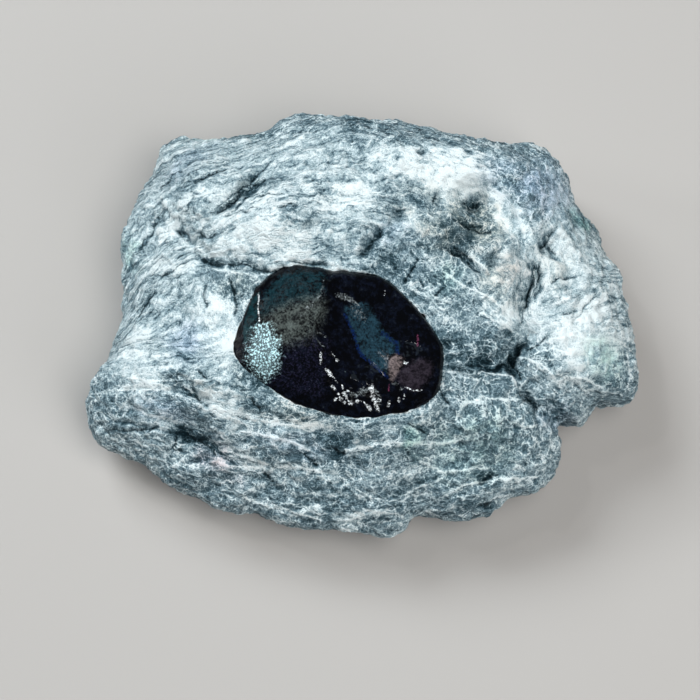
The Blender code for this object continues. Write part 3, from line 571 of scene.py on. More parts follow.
def makeRock():
    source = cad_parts["perlite_matrix"]
    rock = source.copy()
    rock.data = source.data.copy()
    rock.name = "perliteRock"
    rock.parent = None
    for key in list(rock.keys()):
        del rock[key]
    bpy.context.scene.collection.objects.link(rock)
    makeActive(rock)
    bpy.ops.object.mode_set(mode="EDIT")
    bpy.ops.mesh.select_all(action="SELECT")
    bpy.ops.mesh.remove_doubles(threshold=rockCut["weld"] * mm)
    bpy.ops.object.mode_set(mode="OBJECT")
    applyModifier(rock, "REMESH", mode="VOXEL", voxel_size=rockCut["voxel"] * mm, use_smooth_shade=True)
    applyModifier(rock, "SMOOTH", factor=0.5, iterations=2)
    print("rock remeshed:", len(rock.data.polygons), "faces")

    # the face that shows gets a finer mesh
    mesh = rock.data
    points = readVectors(mesh.vertices, "co") / mm
    normals = readVectors(mesh.vertices, "normal")
    outside = beyondNodule(points[:, 0], points[:, 1]) > rockCut["socketEdge"]
    fine = (normals[:, 2] > rockCut["fineFacing"]) | (points[:, 2] > rockCut["fineHeight"])
    fine &= (points[:, 2] > rockCut["fineFoot"]) & outside
    chosen = np.array([all(fine[index] for index in face.vertices) for face in mesh.polygons])
    mesh.vertices.foreach_set("select", np.zeros(len(mesh.vertices), bool))
    mesh.edges.foreach_set("select", np.zeros(len(mesh.edges), bool))
    mesh.polygons.foreach_set("select", chosen)
    makeActive(rock)
    bpy.ops.object.mode_set(mode="EDIT")
    bpy.ops.mesh.select_mode(type="FACE")
    bpy.ops.mesh.subdivide(number_cuts=1)
    bpy.ops.mesh.select_all(action="SELECT")
    bpy.ops.mesh.quads_convert_to_tris()
    bpy.ops.object.mode_set(mode="OBJECT")
    print("rock refined:", len(mesh.polygons), "triangles")
    return rock


def cutCracks(x, y, wander, onTop):
    down = np.zeros_like(x)
    for width, depth, line in rockCut["cracks"]:
        gap, _, travel = linePlace(x + 0.5 * wander, y - 0.4 * wander, line)
        taper = np.clip(np.minimum(travel, 1 - travel) * 5 + 0.35, 0, 1)
        down += depth * taper * np.exp(-(gap / width) ** 1.6) * onTop
    for height, runBack, line in rockCut["steps"]:
        gap, side, travel = linePlace(x + 0.4 * wander, y + 0.4 * wander, line)
        taper = np.clip(np.minimum(travel, 1 - travel) * 4, 0, 1)
        rise = 1 / (1 + np.exp(-side / 0.12))
        down -= height * rise * taper * np.exp(-(gap / runBack) ** 2) * onTop
        foot = np.exp(-((side + 0.25) / 0.22) ** 2) * (gap < 1.5)
        down += 0.5 * height * taper * foot * onTop
    for pit in rockCut["pits"]:
        along, across = ovalPlace(x + 0.3 * wander, y, pit)
        down += pit[5] * np.exp(-(along ** 2 + across ** 2) ** 1.2) * onTop
    return down


def peelShells(angle, beyond, wander, onTop):
    # thin shells peel off round the nodule
    down = np.zeros_like(beyond)
    degrees = np.degrees(angle)
    for first, last, reach, step in rockCut["shells"]:
        turnGap = np.abs((degrees - (first + last) / 2 + 180) % 360 - 180)
        hold = eased((last - first) / 2 - turnGap, 0.0, 14.0) * eased(reach - beyond, 0.0, 1.0)
        saw = ((beyond + 0.35 * wander) / rockCut["shellPitch"]) % 1.0
        down += step * hold * (beyond > 0) * (saw - 0.4) * onTop
    return down


def seamPlace(x, y, lines):
    # signed distance to the nearest seam, and how strongly it shows there
    nearest = np.full_like(x, 1e9)
    signed = np.zeros_like(x)
    hold = np.zeros_like(x)
    for line in lines:
        gap, side, travel = linePlace(x, y, line)
        nearer = gap < nearest
        nearest = np.where(nearer, gap, nearest)
        signed = np.where(nearer, np.sign(side) * gap, signed)
        ends = eased(np.minimum(travel, 1 - travel), 0.0, 0.18)
        hold = np.where(nearer, ends * (1 - eased(gap, 0.4, rockSeams["reach"])), hold)
    return signed, hold


# how the rock's lip closes on the glass, in millimetres
lipForm = {
    "stations": 72,
    "stepBack": 0.9,            # where no point shows how far back the lip stands
    "overlap": 0.06,
    "pullFade": (0.4, 3.4),     # the pull fades this far behind the lip, and this deep under it
    "pullDepth": (-4.5, -1.2),
    "facing": (0.05, 0.35),     # the rim is what faces up and isn't deep, or lies near the lip's height
    "faceDepth": (-3.6, -2.8),
    "rimDepth": (-1.9, -1.2),
    "rimFade": (0.5, 3.0),
    "rimRise": 0.22,
    "rimBumps": (0.30, 0.9),    # height and size
}


def lipPull(beyond, angle, z, normals):
    # how far each point near the socket moves in, so that the lip closes on the glass
    depth = z - lipHeight(angle)
    crest = (normals[:, 2] > 0.35) & (depth > -0.9) & (beyond < 3.0) & (beyond > -0.5)
    count = lipForm["stations"]
    place = np.degrees(angle) % 360
    stations = (place * count / 360).astype(int)
    back = np.full(count, lipForm["stepBack"])
    for station in range(count):
        found = beyond[crest & (stations == station)]
        if len(found) > 4:
            back[station] = np.percentile(found, 3)
    back = (np.roll(back, 1) + 2 * back + np.roll(back, -1)) / 4
    backHere = np.interp(place, (np.arange(count + 1) + 0.5) * 360 / count, np.append(back, back[0]))
    fade = 1 - eased(beyond - backHere, *lipForm["pullFade"])
    return (backHere + lipForm["overlap"]) * fade * eased(depth, *lipForm["pullDepth"]) * (beyond > -0.6)


def carveRock(rock):
    mesh = rock.data
    edges = readEdges(mesh)
    points = spread(readVectors(mesh.vertices, "co") / mm, edges, 2)
    writePoints(mesh, points * mm)
    normals = readVectors(mesh.vertices, "normal")
    x, y, z = points.T.copy()
    beyond = beyondNodule(x, y)
    angle, distance = noduleAngles(x, y)
    upward = eased(normals[:, 2], *rockCut["topFacing"])
    onTop = upward * eased(z, *rockCut["topHeight"])
    level = bandLevel(points)
    onBase = z < rockCut["baseBand"]
    hidden = (beyond < -0.2) | onBase
    lift = np.zeros(len(points))
    strand = 1 - ovalMask(x, y, rockZones["crackle"])
    for index in np.nonzero(~hidden)[0]:
        lift[index] = rockRelief(Vector(points[index]), level[index], upward[index], strand[index])
    lift *= np.clip(0.35 + beyond / 2.0, 0.0, 1.0) * np.clip(z / 2.0, 0.0, 1.0)
    wander = noiseAt(points, 1.3)
    cuts = cutCracks(x, y, wander, onTop)
    seamX = x + 0.30 * wander
    seamY = y - 0.30 * wander
    for name in ("dark", "white"):
        signed, hold = seamPlace(seamX, seamY, rockSeams[name])
        writeMask(mesh, name + "Side", signed)
        writeMask(mesh, name + "Hold", hold * onTop)
        if name == "dark":
            cuts += rockCut["seamDepth"] * hold * onTop * np.exp(-(signed / rockCut["seamWidth"]) ** 2)
    points += normals * lift[:, None]
    points[:, 2] -= cuts + peelShells(angle, beyond, wander, onTop)
    # the lip closes on the glass
    outward = np.stack([x - noduleForm["middle"][0], y - noduleForm["middle"][1]], 1)
    outward /= np.maximum(distance, 0.1)[:, None]
    pull = lipPull(beyond, angle, z, normals)
    points[:, :2] -= outward * pull[:, None]
    depth = z - lipHeight(angle)
    facing = eased(normals[:, 2], *lipForm["facing"]) * eased(depth, *lipForm["faceDepth"])
    rim = (1 - eased(beyond, *lipForm["rimFade"])) * np.maximum(facing, eased(depth, *lipForm["rimDepth"]))
    height, size = lipForm["rimBumps"]
    rimHeight = lipHeight(angle) + lipForm["rimRise"] + height * noiseAt(points, size, 2.0)
    points[:, 2] += rim * np.maximum(rimHeight - points[:, 2], 0.0)
    points[:, 2] = np.where(onBase, np.minimum(points[:, 2], 0.0), points[:, 2])
    points[:, 2] = np.maximum(points[:, 2], 0.0)
    writePoints(mesh, points * mm)
    # what lies sheltered under its surroundings, and what stands proud: the colour is darkened in the first
    # as painted shade and lightened on the second as painted light
    shelter = spread(points, edges, rockCut["hollowRounds"]) - points
    paintedHollowShade = np.einsum("ij,ij->i", shelter, readVectors(mesh.vertices, "normal"))
    writeMask(mesh, "bandLevel", bandLevel(points))
    writeMask(mesh, "paintedHollowShade", np.clip(paintedHollowShade / rockCut["hollowDepth"], -1, 1))
    # painted shade: the colour darkens with the depth of the cracks, pits, seams and step feet cut here
    writeMask(mesh, "paintedCleftShade", np.clip(cuts / rockCut["cleftDepth"], 0, 1))
    warp = noiseAt(points, 2.6, 5.0)
    for name, ovals in rockZones.items():
        mask = ovalMask(x + 0.8 * wander + 1.2 * warp, y + 0.8 * wander - 1.2 * warp, ovals)
        writeMask(mesh, name, mask * eased(z, 2.0, 8.0))
    print("rock carved")


def addNode(tree, kind, values=None, **settings):
    node = tree.nodes.new(kind)
    for key, value in settings.items():
        setattr(node, key, value)
    for key, value in (values or {}).items():
        node.inputs[key].default_value = value
    return node


def feed(tree, value, socket):
    # a socket is linked and a plain value is set
    if isinstance(value, bpy.types.NodeSocket):
        tree.links.new(value, socket)
    elif value is not None:
        socket.default_value = value


def calc(tree, operation, first, second=None, third=None, clamp=False):
    node = addNode(tree, "ShaderNodeMath", operation=operation, use_clamp=clamp)
    for index, value in enumerate((first, second, third)):
        feed(tree, value, node.inputs[index])
    return node.outputs[0]


def vectorCalc(tree, operation, first, second=None, scale=None):
    node = addNode(tree, "ShaderNodeVectorMath", operation=operation)
    feed(tree, first, node.inputs[0])
    feed(tree, second, node.inputs[1])
    if scale is not None:
        feed(tree, scale, node.inputs["Scale"])
    return node.outputs[0]


def weighted(tree, start, *terms):
    # start plus each value times its weight
    total = start
    for value, weight in terms:
        total = calc(tree, "MULTIPLY_ADD", value, weight, total)
    return total


def rangeOf(tree, value, low, high, toLow=0.0, toHigh=1.0):
    node = addNode(tree, "ShaderNodeMapRange", interpolation_type="SMOOTHSTEP")
    for index, part in enumerate((value, low, high, toLow, toHigh)):
        feed(tree, part, node.inputs[index])
    return node.outputs[0]


def maskOf(tree, name):
    return addNode(tree, "ShaderNodeAttribute", attribute_name=name).outputs["Fac"]


def noiseOf(tree, vector, scale, detail=3.0, roughness=0.55, output="Fac"):
    settings = {"Scale": scale, "Detail": detail, "Roughness": roughness}
    node = addNode(tree, "ShaderNodeTexNoise", values=settings)
    tree.links.new(vector, node.inputs["Vector"])
    return node.outputs[output]


def blend(tree, colour, other, mask, kind="MIX"):
    mix = addNode(tree, "ShaderNodeMix", data_type="RGBA", blend_type=kind)
    feed(tree, mask, mix.inputs["Factor"])
    for part, name in ((colour, "A"), (other, "B")):
        feed(tree, (*part, 1.0) if isinstance(part, tuple) else part, mix.inputs[name])
    return mix.outputs["Result"]


def newGroup(name, inputs, outputs):
    group = bpy.data.node_groups.new(name, "ShaderNodeTree")
    for label, kind, value in inputs:
        socket = group.interface.new_socket(label, in_out="INPUT", socket_type=kind)
        if value is not None:
            socket.default_value = value
    for label in outputs:
        group.interface.new_socket(label, in_out="OUTPUT", socket_type="NodeSocketFloat")
    return group, group.nodes.new("NodeGroupInput"), group.nodes.new("NodeGroupOutput")


def placeGroup(tree, group, **values):
    node = tree.nodes.new("ShaderNodeGroup")
    node.node_tree = group
    for key, value in values.items():
        feed(tree, value, node.inputs[key])
    return node.outputs


def inCells(tree, given, size):
    # the place measured in cells of the size that the group is given
    share = calc(tree, "DIVIDE", 1.0, given.outputs[size])
    return vectorCalc(tree, "SCALE", given.outputs["Place"], scale=share)


def fromMiddle(tree, value):
    return calc(tree, "SUBTRACT", value, 0.5)


def nearMiddle(tree, value):
    return calc(tree, "ABSOLUTE", fromMiddle(tree, value))


def driftOf(tree, place, scale, detail, roughness):
    # noise that pushes a place about, its three parts around nought
    push = noiseOf(tree, place, scale, detail, roughness, "Color")
    return vectorCalc(tree, "SUBTRACT", push, (0.5, 0.5, 0.5))


def fadeLine(tree, gap, width):
    # bright at the line and fading away from it
    return calc(tree, "EXPONENT", calc(tree, "MULTIPLY", calc(tree, "DIVIDE", gap, width), -1.0))


def makeVeinGroup():
    # a net of healed cracks: pale lines of uneven strength, and the glassy cores between them
    group, given, wanted = newGroup(
        "healedCracks",
        [("Place", "NodeSocketVector", None), ("Cell", "NodeSocketFloat", 1.0),
         ("Wander", "NodeSocketFloat", 0.5), ("Width", "NodeSocketFloat", 0.06)],
        ["Vein", "Core"])
    place = inCells(group, given, "Cell")
    drift = vectorCalc(group, "SCALE", driftOf(group, place, 0.9, 3.0, 0.6), scale=given.outputs["Wander"])
    cells = addNode(group, "ShaderNodeTexVoronoi", feature="DISTANCE_TO_EDGE", values={"Scale": 1.0})
    group.links.new(vectorCalc(group, "ADD", place, drift), cells.inputs["Vector"])
    gap = cells.outputs["Distance"]
    strength = rangeOf(group, noiseOf(group, place, 0.70, 3.0), 0.40, 0.60)
    line = fadeLine(group, gap, given.outputs["Width"])
    group.links.new(calc(group, "MULTIPLY", line, calc(group, "ADD", 0.08, strength)), wanted.inputs["Vein"])
    group.links.new(rangeOf(group, gap, 0.05, 0.40), wanted.inputs["Core"])
    return group


def makeLoopGroup():
    # wandering hair lines and loops
    group, given, wanted = newGroup(
        "hairLoops",
        [("Place", "NodeSocketVector", None), ("Cell", "NodeSocketFloat", 1.0),
         ("Width", "NodeSocketFloat", 0.03)],
        ["Line"])
    gap = nearMiddle(group, noiseOf(group, inCells(group, given, "Cell"), 1.0, 3.0, 0.45))
    group.links.new(fadeLine(group, gap, given.outputs["Width"]), wanted.inputs["Line"])
    return group


def makeFibreGroup():
    # fine threads that follow the flow bands
    group, given, wanted = newGroup(
        "bandThreads",
        [("Place", "NodeSocketVector", None), ("Level", "NodeSocketFloat", 0.0),
         ("Length", "NodeSocketFloat", 4.0), ("Width", "NodeSocketFloat", 0.4)],
        ["Thread", "Tone"])
    rise = addNode(group, "ShaderNodeCombineXYZ")
    group.links.new(calc(group, "DIVIDE", given.outputs["Level"], given.outputs["Width"]), rise.inputs["Z"])
    place = vectorCalc(group, "ADD", inCells(group, given, "Length"), rise.outputs[0])
    value = noiseOf(group, place, 1.0, 3.0, 0.6)
    group.links.new(fadeLine(group, nearMiddle(group, value), 0.035), wanted.inputs["Thread"])
    group.links.new(fromMiddle(group, value), wanted.inputs["Tone"])
    return group


patternGroups = {"nets": makeVeinGroup(), "loops": makeLoopGroup(), "fibres": makeFibreGroup()}

# the looks of the perlite; sizes in millimetres
perliteLook = {
    # position along the tone, colour
    "tones": [(0.0, (0.004, 0.014, 0.020)), (0.22, (0.028, 0.062, 0.080)), (0.45, (0.120, 0.195, 0.235)),
              (0.70, (0.40, 0.52, 0.565)), (1.0, (0.83, 0.92, 0.94))],
    "tints": {"umber": (0.88, 0.77, 0.67), "indigo": (0.80, 0.85, 1.0), "rose": (0.96, 0.80, 0.82),
              "jade": (0.68, 0.98, 0.86)},
    # slow and quick push of the pattern: scale, detail, roughness, reach
    "drift": (0.5, 2.0, 0.5, 1.8),
    "shiver": (2.2, 2.0, 0.6, 0.55),
    "levelDrift": 0.7,
    "bandStretch": 0.5,
    "bandPitch": 1.3,
    # patterns: the place that they read, and their settings
    "nets": {
        "bigNet": ("banded", {"Cell": 1.5, "Wander": 0.9, "Width": 0.040}),
        "roundNet": ("warped", {"Cell": 2.2, "Wander": 1.1, "Width": 0.020}),
        "midNet": ("warped", {"Cell": 1.15, "Wander": 1.1, "Width": 0.045})},
    "loops": {
        "fineLoops": ("warped", {"Cell": 0.95, "Width": 0.022}),
        "longLoops": ("banded", {"Cell": 1.6, "Width": 0.012})},
    "fibres": {
        "threads": ("place", {"Length": 6.0, "Width": 0.62}),
        "hairs": ("place", {"Length": 4.0, "Width": 0.26}),
        "splits": ("warped", {"Length": 7.0, "Width": 0.85}),
        "slits": ("warped", {"Length": 2.4, "Width": 0.40})},
    # noises: the place that they read, scale, detail, roughness
    "noises": {
        "broad": ("place", 0.12, 3.0, 0.5), "grain": ("place", 2.8, 3.0, 0.80),
        "grit": ("place", 5.2, 2.0, 0.6), "fleck": ("banded", 2.0, 2.0, 0.5),
        "bandPatch": ("banded", 0.50, 4.0, 0.62), "roundPatch": ("warped", 0.42, 4.0, 0.66)},
    "seamWidths": {"dark": 0.080, "white": 0.120},
    "seamRaggedness": 0.9,
    # shares of the parts in the pale lines, the tone and the height of the fine bumps
    "bandLines": {"longLoops": 0.36, "threads": 0.24},
    "bandShades": {"threads": 0.42, "hairs": 0.62},
    "netLines": {"midNet": 0.36, "fineLoops": 0.26},
    "strandNet": 0.52,
    "crackleNets": {"roundNet": 0.60, "midNet": 0.16},
    "whiteSeam": 0.62,
    # the darker ovals' share darkens the tone as painted shade over pits, cracks and the lower right
    "toneShares": {"broad": 0.30, "patch": 0.42, "bandShade": 1.0, "crackle": 0.10, "grain": 0.66,
                   "grit": 0.74, "chalk": 0.20, "paintedShadeAndDarkPatch": -0.16, "darkFlecks": -0.15},
    # painted shade in the clefts and hollows, painted light on proud parts, and the dark hair seams
    "darkShares": {"paintedCleftShade": -0.25, "paintedHollowShade": -0.15, "darkSeam": -0.50},
    "bumpShares": {"lines": 0.4, "grain": 1.3, "grit": 0.9, "bandShade": 2.1, "cores": -0.3,
                   "splits": 1.6, "slits": 1.4, "darkSeam": -1.0},
    # a part's share where the rock is dark and where it is pale
    "paleTone": (0.30, 0.78),
    "coreShare": (0.11, 0.08),
    "lineShare": (1.05, 0.32),
    "lineCrackle": 0.16,
    "splitShare": (-0.10, -0.30),
    "slitShare": (-0.34, -0.14),
    "roughness": 0.78,
    "coreRoughness": -0.30,
    "mirror": 0.40,
    "bumpDepth": 0.20,
}


def shares(tree, start, parts, weights):
    # start plus each named part times its share
    return weighted(tree, start, *[(parts[name], weight) for name, weight in weights.items()])


def perlitePlaces(tree, look):
    # where the patterns are read: straight, pushed about, and slow along the flow but quick across it
    place = addNode(tree, "ShaderNodeTexCoord").outputs["Object"]
    place = vectorCalc(tree, "SCALE", place, scale=1 / mm)
    warped = place
    pushes = []
    for name in ("drift", "shiver"):
        *settings, reach = look[name]
        pushes.append(driftOf(tree, place, *settings))
        warped = vectorCalc(tree, "ADD", warped, vectorCalc(tree, "SCALE", pushes[-1], scale=reach))
    axes = addNode(tree, "ShaderNodeSeparateXYZ")
    tree.links.new(pushes[0], axes.inputs[0])
    level = weighted(tree, maskOf(tree, "bandLevel"), (axes.outputs["Z"], look["levelDrift"]))
    rise = addNode(tree, "ShaderNodeCombineXYZ")
    tree.links.new(calc(tree, "MULTIPLY", level, look["bandPitch"]), rise.inputs["Z"])
    banded = vectorCalc(tree, "SCALE", warped, scale=look["bandStretch"])
    banded = vectorCalc(tree, "ADD", banded, rise.outputs[0])
    return {"place": place, "warped": warped, "banded": banded}, level


def perliteParts(tree, look):
    # every pattern and zone of the perlite, as numbers that the tone and the bumps add up
    places, level = perlitePlaces(tree, look)
    parts = {}
    insides = {}                # cores of the cells, and tones between the threads
    for kind, group in patternGroups.items():
        for name, (where, settings) in look[kind].items():
            extra = {"Level": level} if kind == "fibres" else {}
            drawn = placeGroup(tree, group, Place=places[where], **settings, **extra)
            parts[name] = drawn[0]
            insides[name] = drawn[-1]
    for name, (where, *settings) in look["noises"].items():
        parts[name] = noiseOf(tree, places[where], *settings)
    for name in ("broad", "grain", "grit"):
        parts[name] = fromMiddle(tree, parts[name])
    for name in ("crackle", "paintedShadeAndDarkPatch", "paintedCleftShade", "paintedHollowShade"):
        parts[name] = maskOf(tree, name)
    crackle = parts["crackle"]
    strand = calc(tree, "SUBTRACT", 1.0, crackle, clamp=True)
    parts["patch"] = weighted(tree, -0.5, (calc(tree, "MULTIPLY", parts["bandPatch"], strand), 1.0),
                              (calc(tree, "MULTIPLY", parts["roundPatch"], crackle), 1.0))
    shade = weighted(tree, 0.0, *[(insides[name], share) for name, share in look["bandShades"].items()])
    parts["bandShade"] = calc(tree, "MULTIPLY", shade, weighted(tree, 0.2, (strand, 0.8)))
    pale = weighted(tree, maskOf(tree, "pale"), (parts["patch"], 0.9), (parts["broad"], 0.5))
    pale = rangeOf(tree, pale, 0.05, 0.85)
    chalk = weighted(tree, maskOf(tree, "chalk"), (parts["patch"], 1.6), (insides["hairs"], 0.8))
    parts["chalk"] = calc(tree, "MULTIPLY", rangeOf(tree, chalk, 0.28, 0.62),
                          rangeOf(tree, maskOf(tree, "chalk"), 0.02, 0.25))
    parts["darkFlecks"] = rangeOf(tree, parts["fleck"], 0.58, 0.72)
    parts["cores"] = calc(tree, "MULTIPLY", insides["bigNet"], insides["midNet"])
    for name, width in look["seamWidths"].items():
        gap = weighted(tree, maskOf(tree, name + "Side"), (parts["grain"], look["seamRaggedness"]))
        line = fadeLine(tree, calc(tree, "ABSOLUTE", gap), width)
        parts[name + "Seam"] = calc(tree, "MULTIPLY", line, maskOf(tree, name + "Hold"))
    bands = shares(tree, 0.0, parts, look["bandLines"])
    lines = weighted(tree, 0.0, (calc(tree, "MULTIPLY", parts["bigNet"], strand), look["strandNet"]),
                     (calc(tree, "MULTIPLY", shares(tree, 0.0, parts, look["crackleNets"]), crackle), 1.0),
                     (calc(tree, "MULTIPLY", bands, strand), 1.0), (parts["whiteSeam"], look["whiteSeam"]))
    parts["lines"] = shares(tree, lines, parts, look["netLines"])
    splitShare = rangeOf(tree, pale, 0.0, 1.0, *look["splitShare"])
    slitShare = calc(tree, "MULTIPLY", rangeOf(tree, parts["broad"], -0.10, 0.12, *look["slitShare"]), pale)
    for name, share in (("splits", splitShare), ("slits", slitShare)):
        parts[name] = calc(tree, "MULTIPLY", calc(tree, "MULTIPLY", parts[name], share), strand)
    return parts, pale


def perliteTone(tree, look, parts, pale):
    # from dark to pale, 0 to 1
    tone = shares(tree, rangeOf(tree, pale, 0.0, 1.0, *look["paleTone"]), parts, look["toneShares"])
    coreShare = rangeOf(tree, pale, 0.0, 1.0, *look["coreShare"])
    tone = calc(tree, "SUBTRACT", tone, calc(tree, "MULTIPLY", parts["cores"], coreShare))
    lineShare = rangeOf(tree, pale, 0.0, 1.0, *look["lineShare"])
    lineShare = weighted(tree, lineShare, (parts["crackle"], look["lineCrackle"]))
    tone = calc(tree, "ADD", tone, calc(tree, "MULTIPLY", parts["lines"], lineShare))
    tone = weighted(tree, tone, (parts["splits"], 1.0), (parts["slits"], 1.0))
    # the clefts and hollows darken the tone as painted shade, and proud parts lighten it as painted light
    return shares(tree, tone, parts, look["darkShares"])


def newMaterial(name):
    material = bpy.data.materials.new(name)
    material.use_nodes = True
    return material, material.node_tree.nodes["Principled BSDF"]


def addBump(tree, shader, height, strength, depth):
    bump = addNode(tree, "ShaderNodeBump", values={"Strength": strength, "Distance": depth * mm})
    tree.links.new(height, bump.inputs["Height"])
    tree.links.new(bump.outputs["Normal"], shader.inputs["Normal"])


def perliteMaterial():
    look = perliteLook
    material, shader = newMaterial("perliteStone")
    tree = material.node_tree
    shader.inputs["Specular IOR Level"].default_value = look["mirror"]
    parts, pale = perliteParts(tree, look)
    ramp = addNode(tree, "ShaderNodeValToRGB")
    for index, (position, colour) in enumerate(look["tones"]):
        if index in (0, len(look["tones"]) - 1):
            stop = ramp.color_ramp.elements[-1 if index else 0]
        else:
            stop = ramp.color_ramp.elements.new(position)
        stop.color = (*colour, 1.0)
    tree.links.new(perliteTone(tree, look, parts, pale), ramp.inputs["Fac"])
    colour = ramp.outputs["Color"]
    for name, tint in look["tints"].items():
        mask = rangeOf(tree, parts["patch"], -0.25, 0.15)
        mask = calc(tree, "MULTIPLY", maskOf(tree, name), mask, clamp=True)
        colour = blend(tree, colour, tint, mask, "MULTIPLY")
    tree.links.new(colour, shader.inputs["Base Color"])
    roughness = weighted(tree, look["roughness"], (parts["cores"], look["coreRoughness"]))
    tree.links.new(roughness, shader.inputs["Roughness"])
    addBump(tree, shader, shares(tree, 0.0, parts, look["bumpShares"]), 1.0, look["bumpDepth"])
    return material


# the glass nodule: shapes of its broken top, in millimetres
glassCut = {
    "segments": 450,
    "rings": 205,
    # side profile: steps it is drawn with, radius it is measured at, and where rings lie closer
    "profileSteps": 4000,
    "profileRadius": 14.0,
    "closeAbove": 20.0,
    "ringWeights": (3.0, 0.5),
    "soften": 0.05,
    "seat": 0.12,               # how far the glass reaches under the rock's lip
    "sway": (0.25, 1.6),        # waviness of the facets' edges: reach and size
    "shown": (20.5, 21.5),      # heights between which the nodule comes out of the rock
    "chipSize": 0.9,
    "pitSize": 0.42,
    "pitDepth": (0.02, 0.03),   # everywhere, and more on the worn facets
    "wear": (0.10, 1.5),
    "bevel": 0.66,              # fall of the bevel that runs round the lip
    "bevelLow": 0.35,           # its height over the lip at the outline
    # flat facets: a point and the way the facet faces
    "facets": [
        ((-6, 0.7, 25.2), (-0.09, 0.08, 1)), ((-13.4, -5.6, 23.9), (-0.60, -0.03, 1)),
        ((-14.4, -0.6, 23.4), (-0.80, 0.26, 1)), ((-8.4, -9, 24.5), (-0.13, -0.42, 1)),
        ((-9.6, -12, 23.3), (-0.30, -0.85, 1)), ((7, -10.4, 23.3), (0.14, -0.22, 1)),
        ((1, -13.2, 23.4), (0.02, -0.60, 1)), ((9, -4.6, 24.2), (0.55, 0.05, 1)),
        ((6.6, 0.8, 24.7), (0.44, 0.40, 1))],
    # the large flake scar: its edge, floor and how far its walls reach in
    "bowl": [
        (-3.5, 3.3), (-4.6, 2.2), (-4.9, 0.8), (-5.3, -0.8), (-5.9, -2), (-6.2, -3.2), (-6.2, -4.8),
        (-5.7, -5.9), (-5.3, -7.5), (-5.5, -8.5), (-4.7, -9.7), (-3.9, -11.2), (-3.1, -12.4), (-1.4, -12.7),
        (0.1, -12.1), (2, -11.7), (3.7, -11.1), (5.5, -9.2), (7.5, -7.8), (9.1, -6.7), (9.3, -4.8),
        (8.3, -3), (6.6, -0.9), (5, 1), (3.3, 2.3), (0.6, 3), (-1.8, 3.4)],
    "bowlFloor": 22.9,
    "bowlReach": 4.8,
    "bowlCurve": 1.8,
    "ridge": [(-2.8, 0.9), (-0.8, -1.0), (0.6, -3.5), (2.0, -5.6), (3.7, -7.4), (4.3, -8.8)],
    "ridgeHeight": 0.45,
    "ridgeWidth": 1.7,
    # waviness of the zones' edges: its size, and its reach at zones, marks and the painted reflection band's
    # fringe
    "wobbleSize": 0.9,
    "zoneWobble": 0.25,
    "zoneFade": 1.5,
    "markWobble": 0.14,
    "markGrowth": 1.3,
    "edgeWobble": 0.20,
    # chipped places: x, y, half length, half width, turn, depth
    "chips": [
        (-4.4, -7.2, 1.5, 1, -50, 0.9), (-5.3, -5, 0.8, 0.6, 0, 0.5), (-4.3, -10.4, 1.4, 0.6, -60, 0.9),
        (-2.2, -12.3, 2.2, 1.2, -10, 1), (1.2, -12.8, 1.2, 1.8, 10, 1), (-4.6, 1.2, 0.5, 1.4, 0, 0.4),
        (-6.4, -3, 1, 0.8, 0, 0.4)],
}

# colour patches of the glass, by their outlines
glassZones = {
    "film": [
        (-13.2, 0.3), (-12.4, 1.9), (-10.8, 3.5), (-8.1, 4.2), (-5.2, 3.6), (-5, 2.3), (-5.4, 0.3),
        (-7.5, -0.7), (-10.1, -1.2), (-12.1, -2.4), (-13.3, -2.2), (-13.6, -0.8)],
    "soot": [
        (-11.5, -5.3), (-8.2, -5.2), (-4.2, -5.6), (-5.2, -12.4), (-9.5, -11.7), (-13.2, -10.1),
        (-11.6, -8.3)],
    "clay": [
        (-13.3, -2.4), (-11.4, -1.3), (-9.5, -0.6), (-7.5, -0.1), (-5.8, 0.4), (-5.1, -0.5), (-5.5, -2.1),
        (-6.4, -3.9), (-8.1, -5), (-10, -5.9), (-11.3, -5.8), (-12.4, -3.8)],
    "teal": [
        (-14.5, 1.1), (-13.7, 1.5), (-13.7, -0.8), (-13.6, -3), (-14.3, -3.7), (-15.3, -5.4), (-15.9, -4.3),
        (-15.5, -1.9)],
    # painted highlight: a speckled bright patch standing in for light sparkling on the left facet, which the
    # side lamp also lights for real
    "paintedSpeckledHighlight": [
        (-14, -3.3), (-12.5, -3.3), (-11.9, -4.4), (-11.1, -5.8), (-11.1, -7.7), (-11.6, -9.3),
        (-12.9, -9.8), (-14.1, -9), (-14.9, -7.7), (-14.9, -5.8), (-14.4, -4.4)],
    # painted reflection: a blue-grey band standing in for the window reflected in the flake scar
    "paintedReflectionBand": [
        (-2.1, -0.7), (-0.7, 0), (0.6, -0.2), (1.4, -1.5), (2.2, -2.8), (3.3, -4.2), (4.6, -5.5),
        (4.7, -6.6), (3.6, -7.2), (3.5, -8.7), (3.4, -9.9), (2.5, -9.1), (1.1, -7.8), (-0.1, -6.8),
        (-0.6, -5.3), (-1.3, -3.5), (-1.9, -1.9)],
    "buff": [
        (3.6, -7.5), (4.6, -7), (5.5, -7.6), (5, -8.9), (4.4, -10), (3.9, -10.5), (3.4, -9.6)],
    "plum": [
        (5.2, -9.1), (6.7, -7.9), (8.7, -7.6), (9.3, -8.4), (9.1, -9.6), (8.2, -10.7), (7.2, -11.8),
        (6.2, -11.4), (5, -10.8), (4.6, -10.2)],
}
